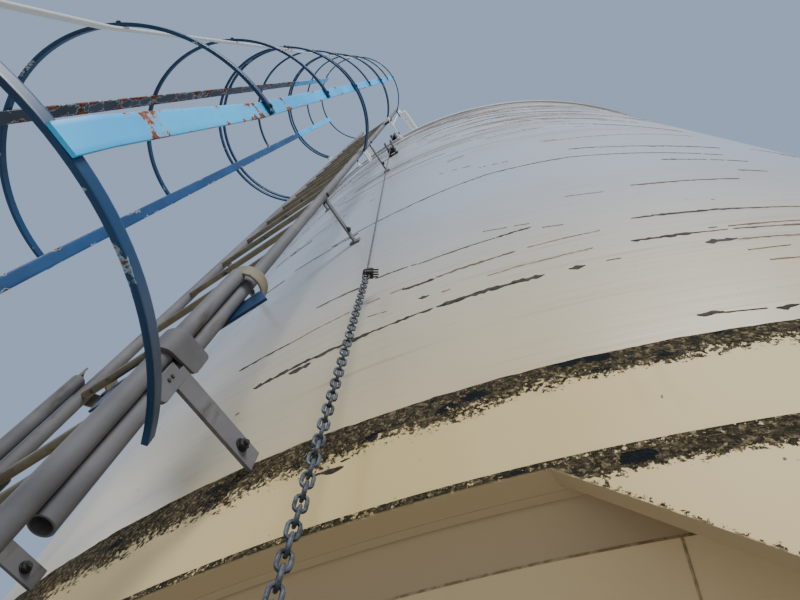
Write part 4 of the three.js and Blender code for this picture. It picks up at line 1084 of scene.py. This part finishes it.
def add_outlet(zinc, bolts):
    """The outlet's flanged collar, and the slide plate with its grip under it."""
    outer = OUTLET_RADIUS - GAP
    top = hopper_z(OUTLET_RADIUS)
    bottom = top - OUTLET_DROP
    flange = bottom + FLANGE_THICK
    collar = turned(
        [(outer - OUTLET_WALL, bottom), (outer + OUTLET_FLANGE, bottom), (outer + OUTLET_FLANGE, flange),
         (outer, flange), (outer, top), (outer - OUTLET_WALL, top)], 96,
    )
    make_piece("outlet_collar_steel", collar, zinc, ["outlet_collar"], bevel=0.001)
    heads = [hex_bolt(on_silo(a, outer + 0.038, flange), UP, "outlet") for a in range(0, 360, 30)]
    make_piece("outlet_bolts", joined(heads), bolts)
    top = bottom - GAP
    slide = block(SLIDE, (0, AXIS_Y + 0.07, top - SLIDE[2] / 2))
    grip = block(SLIDE_GRIP, (0, AXIS_Y + 0.416, top - SLIDE_GRIP[2] / 2))
    gate = joined([slide, grip])
    make_piece("slide_gate_plate", gate, zinc, ["slide_gate"], bevel=0.001)


def roof_z(radius):
    """Height of the roof's upper face."""
    share = (ROOF_OUTER - np.maximum(radius, CROWN_RADIUS)) / (ROOF_OUTER - CROWN_RADIUS)
    return float(ROOF_EDGE + ROOF_RISE * share)


def add_roof(material, bolts):
    """The roof cone with its turned-down lip, the hatch collar, and the lid with its lever."""
    lip_inner = WALL_OUTER + GAP
    inner = WALL_OUTER - WALL_THICK - ROOF_THICK
    crown = roof_z(0)
    profile = (
        [(lip_inner, ROOF_LIP_BOTTOM), (ROOF_OUTER - EDGE, ROOF_LIP_BOTTOM),
         (ROOF_OUTER, ROOF_LIP_BOTTOM + EDGE), (ROOF_OUTER, ROOF_EDGE - 0.006),
         (ROOF_OUTER - EDGE, ROOF_EDGE - 0.001)]
        + [(r, roof_z(r)) for r in np.linspace(ROOF_OUTER - 0.006, CROWN_RADIUS, 16)]
        + [(HATCH_RADIUS, crown), (HATCH_RADIUS, crown - ROOF_THICK), (CROWN_RADIUS, crown - ROOF_THICK),
           (inner, roof_z(inner) - ROOF_THICK), (inner, WALL_TOP), (lip_inner, WALL_TOP)]
    )
    make_piece("roof_shell", turned(profile, 360), material, ["roof"])
    seat = crown + GAP
    tube = HATCH_RADIUS + HATCH_WALL
    flange, rim = seat + HATCH_WALL, seat + HATCH_HEIGHT
    collar = turned(
        [(HATCH_RADIUS, seat), (HATCH_FLANGE, seat), (HATCH_FLANGE, flange), (tube, flange),
         (tube, rim), (HATCH_RADIUS, rim)], 96,
    )
    make_piece("hatch_collar_shell", collar, material, ["hatch_collar"], bevel=0.002)
    heads = [hex_bolt(on_silo(a, HATCH_BOLTS, flange), UP, "hatch") for a in range(15, 360, 30)]
    make_piece("hatch_bolts", joined(heads), bolts)
    low = rim + GAP
    lip = tube + GAP
    outer, lip_low = lip + LID_WALL, low - LID_LIP
    crest = [
        (r, low + 0.012 + LID_CROWN * (1 - (r / lip) ** 2)) for r in np.linspace(lip + 0.004, 0.002, 9)
    ]
    lid = turned(
        [(0.002, low), (lip, low), (lip, lip_low), (outer, lip_low), (outer, low + LID_WALL)] + crest, 96
    )
    lever_top = low + LEVER_LIFT
    out = level_out(ROLLER_ANGLE)
    across = np.cross(UP, out)
    middle = on_silo(0, 0, lever_top - LEVER[2] / 2)
    shapes = [lid, block(LEVER, middle + out * LEVER_MIDDLE, across)]
    for at in LEVER_POSTS:
        shapes.append(block((0.030, 0.012, 0.046), middle + out * at - UP * 0.023, across))
    make_piece("hatch_lid_shell", joined(shapes), material, ["hatch_lid"], bevel=0.0015)
    return lever_top


def add_ladder(grey, beige, white, bolts):
    """Two ladder sections of tube, the upper one behind; rungs, wall arms and their bolts."""
    stiles, lower, saddles, arms, top_arms, heads, rungs = [], [], [], [], [], [], []
    top = LOWER_TOP - 0.008
    for side in (-1, 1):
        x = side * UPPER_HALF
        low, high = (in_front(x, UPPER_STILE, z) for z in (UPPER_BOTTOM, UPPER_TOP))
        stiles.append(open_tube(low, high, STILE, TUBE_WALL))
        for z in ARM_HEIGHTS:
            (top_arms if z == ARM_HEIGHTS[-1] else arms).extend(wall_arm(x, z))
            heads += arm_bolts(side, z)
        low, high = (in_front(side * LOWER_HALF, LOWER_STILE, z) for z in (LOWER_BOTTOM, top))
        lower += [open_tube(low, high, STILE, TUBE_WALL), dome(high, STILE - 0.0004, 0.008)]
        saddles.append(saddle(side))
    for name, side in (("left", -1), ("right", 1)):
        shape, rivets = low_arm(side)
        make_piece(f"wall_arm_{name}_bar", shape, grey, [f"wall_arm_{name}"], bevel=0.001)
        heads += rivets
    make_piece("upper_ladder_stiles", joined(stiles), grey, ["upper_ladder"], bevel=0.0006)
    make_piece("lower_ladder_stiles", joined(lower), grey, ["lower_ladder"])
    make_piece("ladder_saddles", joined(saddles), beige)
    make_piece("ladder_wall_arms", joined(arms), grey, bevel=0.001)
    # The top arms are white: painted sunlight.
    make_piece("ladder_top_arms", joined(top_arms), white, bevel=0.001)
    for half, distance, first, end in (
        (UPPER_HALF, UPPER_STILE, UPPER_FIRST_RUNG, WALL_TOP),
        (LOWER_HALF, LOWER_STILE, LOWER_FIRST_RUNG, UPPER_FIRST_RUNG - RUNG),
    ):
        for z in np.arange(first, end, RUNG_STEP):
            rungs.append(rod(in_front(-half, distance, z), in_front(half, distance, z), RUNG))
            if z > LOWER_TOP:
                heads.append(hex_bolt(in_front(-half - STILE / 2, distance, z), -SIDEWAYS, "rung"))
    make_piece("ladder_bolts", joined(heads), bolts)
    make_piece("ladder_rungs", joined(rungs), beige)


def wall_arm(x, z):
    """A flat bar from a stile to the wall, with a foot bent flat on it."""
    touch = math.sqrt(WALL_OUTER**2 - x**2) + 0.001
    bar = block((ARM_THICK, UPPER_STILE - touch, ARM_WIDTH), in_front(x, (UPPER_STILE + touch) / 2, z))
    angle = math.degrees(math.asin(x / WALL_OUTER))
    foot = on_silo(angle, WALL_OUTER + 0.0028, z)
    return [bar, block((ARM_FOOT, 0.004, ARM_FOOT), foot, np.cross(UP, level_out(angle)))]


def arm_bolts(side, z):
    """Bolts on an arm: one by the wall on its right face, and one by the stile on its outer face."""
    x = side * UPPER_HALF
    by_stile = in_front(x + side * STILE / 2, UPPER_STILE - 0.004, z)
    return [
        hex_bolt(in_front(x + ARM_THICK / 2, ARM_BOLT, z), SIDEWAYS, "arm", tail=0.003),
        hex_bolt(by_stile, side * SIDEWAYS, "stile"),
    ]


def low_arm(side):
    """A low arm: a flat bar back to the joint ring and a lug with rounded corners down its stile,
    held by two rivets. Gives its shape and its fixings."""
    x = side * (UPPER_HALF + STILE / 2 + GAP + ARM_THICK / 2)
    touch = math.sqrt(RING_OUTER**2 - x**2) + 0.001
    middle = in_front(x, (UPPER_STILE + touch) / 2, LOW_ARM)
    bar = block((ARM_THICK, UPPER_STILE - touch, LOW_ARM_WIDTH), middle)
    t = np.linspace(0, np.pi / 2, 7)
    half, (low, high) = LUG_DEPTH / 2, LUG_HEIGHTS
    round_left = np.stack([-half + LUG_CORNER * (1 - np.cos(t)), low + LUG_CORNER * (1 - np.sin(t))], -1)
    round_right = round_left[::-1] * (-1, 1)
    outline = np.concatenate([[(-half, high)], round_left, round_right, [(half, high)]]) - (0, LOW_ARM)
    lug = plate(outline, ARM_THICK + 0.0008, in_front(x, UPPER_STILE, LOW_ARM), FORWARD, UP)
    bolt = in_front(x + ARM_THICK / 2, ARM_BOLT, LOW_ARM)
    fixings = [hex_bolt(bolt, SIDEWAYS, "low arm", tail=0.005)]
    for z in LUG_RIVETS:
        at = in_front(x + side * ARM_THICK / 2, UPPER_STILE + 0.002, z)
        fixings.append(rod(at - side * SIDEWAYS * 0.001, at + side * SIDEWAYS * 0.002, 0.006, 12))
    return joined([bar, lug]), fixings


def saddle(side):
    """A strip bent three quarters of the way round an upper stile, from the lower stile's front."""
    turn = np.radians(np.linspace(0, 270, 40))
    radius = SADDLE_RADIUS - SADDLE_WALL / 2
    middle = in_front(side * SADDLE[0], SADDLE[1], sum(SADDLE_HEIGHTS) / 2)
    path = middle + radius * (np.cos(turn)[:, None] * FORWARD + side * np.sin(turn)[:, None] * SIDEWAYS)
    return carried(bar_outline(SADDLE_HEIGHTS[1] - SADDLE_HEIGHTS[0], SADDLE_WALL)[0], path, UP)


def clamp(side):
    """A plate bent round the lower stile's front and run straight back past both stiles. Its edges
    rise towards the wall, and its back corners are rounded as quarter circles."""
    lower = np.array([LOWER_HALF, LOWER_STILE])
    along = unit(lower - np.array([UPPER_HALF, UPPER_STILE]))
    off = np.array([along[1], -along[0]])
    reach = (LOWER_STILE - STILE / 2 * along[0] - CLAMP_TIP) / along[1]
    back = reach * (1 - np.linspace(0, 1, 24) ** 1.5)
    turn = np.radians(np.concatenate([np.zeros(23), np.linspace(0, CLAMP_TURN, 18)]))
    back = np.concatenate([back, np.zeros(17)])
    rows = []
    for radius in (STILE / 2 + GAP, STILE / 2 + GAP + CLAMP_THICK):
        rows.append(
            lower
            + radius * (np.cos(turn)[:, None] * off + np.sin(turn)[:, None] * along)
            - back[:, None] * along
        )
    front = LOWER_STILE + STILE
    share = (front - rows[0][:, 1]) / (front - CLAMP_TIP)
    low = CLAMP_FRONT[0] + (CLAMP_BACK[0] - CLAMP_FRONT[0]) * share
    high = CLAMP_FRONT[1] + (CLAMP_BACK[1] - CLAMP_FRONT[1]) * share
    past = np.clip(1 - (reach - back) / CLAMP_CORNER, 0, 1)
    cut = CLAMP_CORNER * (1 - np.sqrt(1 - past**2))
    inner, outer = rows
    points = np.stack([
        in_front(side * at[:, 0], at[:, 1], z)
        for at, z in ((inner, low + cut), (outer, low + cut), (outer, high - cut), (inner, high - cut))
    ], 1)
    return outward(grid(points, False, True, capped=True))


def add_clamps(grey, blue, bolts):
    """The clamps, the saddles' bolts, and the flat bar with a slanting end behind the right stile."""
    heads = []
    for name, side in (("left", -1), ("right", 1)):
        node = f"ladder_clamp_{name}"
        make_piece(f"{node}_plate", clamp(side), grey, [node], bevel=0.001)
        at = in_front(side * SADDLE[0], SADDLE[1] - SADDLE_RADIUS + SADDLE_WALL, SADDLE_BOLT)
        heads.append(hex_bolt(at, FORWARD, "saddle"))
    y = UPPER_STILE - STILE / 2 - GAP - CROSS_BAR_THICK / 2
    (left, right), (low, high) = CROSS_BAR, CROSS_BAR_HEIGHTS
    outline = [(left, low), (right, low), (right - CROSS_BAR_SLANT, high), (left, high)]
    bar = plate(outline, CROSS_BAR_THICK, in_front(0, y, 0), SIDEWAYS, UP)
    # The bar takes the blue in painted shade, as it sits in shade behind the stile.
    make_piece("cross_bar_flat", bar, blue, ["cross_bar"], bevel=0.001)
    make_piece("saddle_bolts", joined(heads), bolts)


def hoop_arc(number):
    """A hoop's middle line in plan: the lowest has its own circle, the others share one; a hoop
    with legs is a longer arc than one without."""
    if number == 1:
        reach = math.degrees(math.acos((FOOT_HOOP_END - FOOT_HOOP[1]) / FOOT_HOOP_RADIUS))
        a = np.radians(np.linspace(-reach, reach, 110))
        return in_front(
            FOOT_HOOP[0] + FOOT_HOOP_RADIUS * np.sin(a), FOOT_HOOP[1] + FOOT_HOOP_RADIUS * np.cos(a), 0
        )
    if number not in LEG_OFFSETS:
        past = math.degrees(math.asin(STRAP_WIDTH / 2 / HOOP_RADIUS))
        return on_cage(np.linspace(STRAP_ANGLES[0] - past, STRAP_ANGLES[-1] + past, 72), HOOP_RADIUS, 0)
    reach = 180 - math.degrees(math.asin(leg_x(number) / HOOP_RADIUS))
    return on_cage(np.linspace(-reach, reach, 96), HOOP_RADIUS, 0)


def leg_x(number):
    """How far a hoop's leg stands from the ladder's middle."""
    return UPPER_HALF + STILE / 2 + GAP + HOOP_THICK / 2 + LEG_OFFSETS[number]


def strap_path(angle, outside):
    """A strap's middle line: upright inside the hoops, leaning out at its foot to the lowest hoop."""
    a = math.radians(angle)
    shift = FOOT_HOOP[0] * math.sin(a) + (FOOT_HOOP[1] - CAGE) * math.cos(a)
    face = (HOOP_RADIUS - HOOP_THICK / 2) * FLAT - GAP - STRAP_THICK / 2
    if outside:
        foot = FOOT_HOOP_RADIUS + HOOP_THICK / 2 + GAP + STRAP_THICK / 2 + shift
    else:
        foot = (FOOT_HOOP_RADIUS - HOOP_THICK / 2) * FLAT - 0.001 - STRAP_THICK / 2 + shift
    low = HOOP_HEIGHTS[0] - HOOP_HEIGHT / 2
    high = HOOP_HEIGHTS[-1] + HOOP_HEIGHT / 2 + STRAP_OVERRUN
    first, second = HOOP_HEIGHTS[:2]
    z = np.concatenate([np.linspace(low, second, 60), np.linspace(second + 0.03, high, 120)])
    share = np.clip((z - first - STRAP_BEND) / (second - first - 2 * STRAP_BEND), 0, 1)
    return on_cage(angle, foot + (face - foot) * share, z), z


def add_cage(blue, shaded_hoop_blue, rusty_shaded_blue, shaded_dark_blue, white, bolts):
    """Hoops outside and straps inside, with a bolt at each crossing and through each stile."""
    section, near = bar_outline(HOOP_HEIGHT, HOOP_THICK)
    face = HOOP_RADIUS + HOOP_THICK / 2
    heads, legs = [], []
    for number, z in enumerate(HOOP_HEIGHTS, 1):
        double = number in DOUBLE_HOOPS
        levels = [z - DOUBLE_SPACE / 2, z + DOUBLE_SPACE / 2] if double else [z]
        path = hoop_arc(number)
        shapes = []
        for level in levels:
            shapes.append(carried(section, path + level * UP, UP, edge=near))
            for angle in STRAP_ANGLES if number > 1 else ():
                heads.append(hex_bolt(on_cage(angle, face, level), level_out(angle), "strap"))
            for side in (-1, 1) if number in LEG_OFFSETS else ():
                reach = AXIS_Y - path[0 if side < 0 else -1][1]
                x = leg_x(number)
                middle = in_front(side * x, (LEG_END + reach) / 2, level)
                leg = block((HOOP_THICK, reach + 0.003 - LEG_END, HOOP_HEIGHT), middle)
                (legs if double else shapes).append(leg)
                at = in_front(side * (x + HOOP_THICK / 2), UPPER_STILE, level)
                heads.append(hex_bolt(at, side * SIDEWAYS, "stile", tail=0.003))
                if LEG_OFFSETS[number]:
                    inside = in_front(side * (UPPER_HALF + STILE / 2 - 0.002), UPPER_STILE, level)
                    heads.append(rod(inside, at, 0.014, 12))
        if double:
            shapes.append(block((0.030, HOOP_THICK, DOUBLE_SPACE), in_front(0, CAGE + HOOP_RADIUS, z)))
        # Every hoop takes the darker blue of painted shade.
        make_piece(f"hoop_{number}_flat_bar", joined(shapes), shaded_hoop_blue, [f"hoop_{number}"])
    # The double hoops' legs are white: painted sunlight.
    make_piece("hoop_legs", joined(legs), white, bevel=0.001)
    section, near = bar_outline(STRAP_WIDTH, STRAP_THICK)
    # Straps 1 and 2 take painted shade below their splice, strap 2 also with rust, and painted sunlight
    # above it; strap 4 is in painted sunlight all along.
    paints = ((shaded_dark_blue, blue), (rusty_shaded_blue, blue), (white, white), (blue, blue))
    for i, (angle, (lower, upper)) in enumerate(zip(STRAP_ANGLES, paints), 1):
        out = level_out(angle)
        path, z = strap_path(angle, i == STRAP_OUTSIDE)
        splice = HOOP_HEIGHTS[3] if i in (3, 4) else HOOP_HEIGHTS[5]
        for place, paint, nodes, inset, keep in (
            ("lower", lower, [f"cage_strap_{i}"], 0.0, z < splice + 0.05),
            ("upper", upper, [], STRAP_THICK, z > splice - 0.05),
        ):
            shape = carried(section, path[keep] - inset * out, np.cross(UP, out), edge=near)
            make_piece(f"cage_strap_{i}_{place}_bar", shape, paint, nodes)
    make_piece("cage_bolts", joined(heads), bolts)


def bent(corners, bend):
    """A path through corners, each but the first and last rounded off by a quadratic curve."""
    corners = [np.asarray(corner, float) for corner in corners]
    t = np.linspace(0, 1, 9)[:, None]
    parts = [corners[:1]]
    for before, corner, after in zip(corners, corners[1:], corners[2:]):
        start = corner + bend * unit(before - corner)
        end = corner + bend * unit(after - corner)
        parts.append((1 - t) ** 2 * start + 2 * t * (1 - t) * corner + t**2 * end)
    return np.concatenate(parts + [corners[-1:]])


def add_rails(white):
    """Grab rails: two tubes from beside each stile's top inwards, and a post down on the roof."""
    foot = roof_z(RAIL_INNER)
    link_foot = ARM_HEIGHTS[-1] + ARM_WIDTH / 2 + GAP
    for name, side in (("left", -1), ("right", 1)):
        post = side * RAIL_POST_X
        inner = [in_front(side * x, RAIL_INNER, RAIL) for x in RAIL_INNER_X]
        x = side * UPPER_HALF
        foot_end = in_front(x, UPPER_STILE, UPPER_TOP - 0.02)
        path = bent([foot_end, in_front(x, UPPER_STILE, RAIL), inner[0]], RAIL_BEND)
        outer = in_front(side * RAIL_OUTER[0], RAIL_OUTER[1], RAIL)
        shapes = [
            carried(circle(RAIL_TUBE, 24), path, SIDEWAYS),
            rod(outer, inner[1], RAIL_TUBE, bevel=0.002),
            rod(outer, in_front(x, RAIL_OUTER[1], RAIL), RAIL_TUBE * 0.8),
            rod(in_front(post, RAIL_INNER, foot + 0.012), in_front(post, RAIL_INNER, RAIL), RAIL_TUBE),
            rod(
                in_front(x, RAIL_OUTER[1], link_foot), in_front(side * LINK_TOP[0], LINK_TOP[1], RAIL),
                0.008, 12,
            ),
            block((0.090, 0.090, 0.008), in_front(post, RAIL_INNER, foot + 0.014)),
        ]
        make_piece(f"grab_rail_{name}_tubes", joined(shapes), white, [f"grab_rail_{name}"])


def add_roller(black, zinc, lever_top):
    """The roller in its cheeks on the rim, and the lid wire that runs over it."""
    middle = on_silo(ROLLER_ANGLE, ROLLER_DISTANCE, ROLLER)
    out = level_out(ROLLER_ANGLE)
    across = np.cross(UP, out)
    grooved = [(at, 2 * radius) for at, radius in ROLLER_PROFILE]
    shapes = [
        spun(middle - ROLLER_HALF * across, across, grooved, 40),
        rod(middle - across * 0.024, middle + across * 0.024, PIN, 16),
    ]
    for side in (-1, 1):
        at = middle + across * side * (ROLLER_HALF + 0.0028) - out * 0.005 - UP * 0.016
        shapes.append(block(CHEEK, at, out))
    make_piece("rim_roller_in_cheeks", joined(shapes), black, ["rim_roller"], bevel=0.001)
    eye = on_silo(ROLLER_ANGLE, LEVER_REACH + GAP, lever_top - LEVER[2] / 2)
    t = np.linspace(math.radians(105), 0, 14)[:, None]
    arc = middle + ROPE_TURN * (np.cos(t) * out + np.sin(t) * UP)
    wire = carried(circle(ROPE, 10), np.concatenate([[eye], arc]), across)
    make_piece("lid_wire_rope", wire, zinc, ["lid_wire"])


def add_guide(black, bolts):
    """The rope's guide on the wall: a plate, two cheeks and a roller that the rope runs against."""
    start = rope_start()
    end = on_silo(*CLIP_END)
    rope = start + (end - start) * (start[2] - GUIDE) / (start[2] - end[2])
    axis = on_silo(0, 0, GUIDE)
    out = unit(rope - axis)
    across = np.cross(UP, out)
    roller = axis + out * (np.linalg.norm(rope - axis) - ROPE / 2 - GAP - GUIDE_ROLLER)
    shapes = [block(GUIDE_PLATE, axis + out * (WALL_OUTER + 0.003), across)]
    for half, diameter, sides in ((GUIDE_HALF, 2 * GUIDE_ROLLER, 32), (GUIDE_HALF + 0.009, PIN, 12)):
        shapes.append(rod(roller - across * half, roller + across * half, diameter, sides))
    heads = []
    for side in (-1, 1):
        at = axis + out * (WALL_OUTER + 0.001 + GUIDE_REACH / 2) + across * side * GUIDE_HALF
        shapes.append(block((GUIDE_REACH, 0.005, GUIDE_HEIGHT), at, out))
        for up in (-GUIDE_BOLTS[1], GUIDE_BOLTS[1]):
            at = axis + out * (WALL_OUTER + 0.005) + across * side * GUIDE_BOLTS[0] + UP * up
            heads.append(hex_bolt(at, out, "guide"))
    make_piece("rope_guide_cheeks", joined(shapes), black, ["rope_guide"], bevel=0.001)
    make_piece("rope_guide_bolts", joined(heads), bolts)


def add_studio():
    """A grey floor, a pale even surround, and three large soft lamps."""
    floor = bpy.data.meshes.new("floor")
    corners = [(x * FLOOR_HALF, y * FLOOR_HALF, 0) for x, y in ((-1, -1), (1, -1), (1, 1), (-1, 1))]
    floor.from_pydata(corners, [], [(0, 1, 2, 3)])
    material, tree, place = start_material("grey floor")
    base = layered(tree, "#B5B2AB", (spots(tree, place, 0.8, 0.3, 0.7), "#AFACA4"))
    shader = add(tree, "BsdfPrincipled", {"Base Color": base, "Roughness": 0.8})
    add(tree, "OutputMaterial", {"Surface": shader})
    floor.materials.append(material)
    ground = bpy.data.objects.new("floor", floor)
    bpy.context.scene.collection.objects.link(ground)
    world = bpy.data.worlds.new("surround")
    world.use_nodes = True
    surround = world.node_tree.nodes["Background"]
    surround.inputs[0].default_value = colour("#B4CAEA")
    surround.inputs[1].default_value = 0.72
    bpy.context.scene.world = world
    for name, at, size, power in (
        ("key lamp", (9, -10, 12), 6, 2700),
        ("fill lamp", (-9, -8, 8), 8, 350),
        ("back lamp", (-4, 12, 10), 8, 700),
    ):
        lamp = bpy.data.lights.new(name, "AREA")
        lamp.size = size
        lamp.energy = power
        lamp_object = bpy.data.objects.new(name, lamp)
        towards = Vector(at) - Vector(LAMPS_FACE)
        turn = towards.to_track_quat("Z", "Y").to_matrix().to_4x4()
        lamp_object.matrix_world = Matrix.Translation(at) @ turn
        bpy.context.scene.collection.objects.link(lamp_object)


zinc = weathered_zinc("weathered zinc", "#5B6168", "#2F3338")
bolt_steel = rusty_bolt()
red_bolt = red_oxide()
grey = grey_paint()
beige = rung_paint()
# The first blue is painted sunlight; the next three are the same blue in painted shade, one also rusted.
blue = blue_enamel("sunlit blue enamel", "#38C2FF", "#22AAEE", 0.67)
shaded_hoop_blue = blue_enamel("shaded hoop blue enamel", "#16436B", "#0D2C4B", 0.74)
rusty_shaded_blue = blue_enamel("rust and painted shade on blue enamel", "#34424F", "#222B35", 0.59)
shaded_dark_blue = blue_enamel("shaded dark blue enamel", "#164C7C", "#0F3A63", 0.70)
white = pale_enamel_and_sunlight()
# The wall's grey-blue upper colour is a painted reflection of the sky.
wall_gelcoat = gelcoat("wound gelcoat", "#C9B78E", "#A9AFB6", 0.6, 0.8)
roof_gelcoat = gelcoat("white roof gelcoat", "#CFCDC6", "#CFCDC6", 0.4, 0.0)

add_camera()
add_pull_line(zinc, bolt_steel)
add_wall(wall_gelcoat)
add_growth(lichen_crust())
mossy = mossy_gelcoat()
add_ring(mossy)
add_legs(mossy)
add_hopper(laminate(), resin())
add_outlet(zinc, bolt_steel)
lever_top = add_roof(roof_gelcoat, bolt_steel)
add_ladder(grey, beige, white, bolt_steel)
add_clamps(grey, shaded_hoop_blue, red_bolt)
add_cage(blue, shaded_hoop_blue, rusty_shaded_blue, shaded_dark_blue, white, bolt_steel)
add_rails(white)
black = black_paint()
add_roller(black, zinc, lever_top)
add_guide(black, bolt_steel)
add_studio()
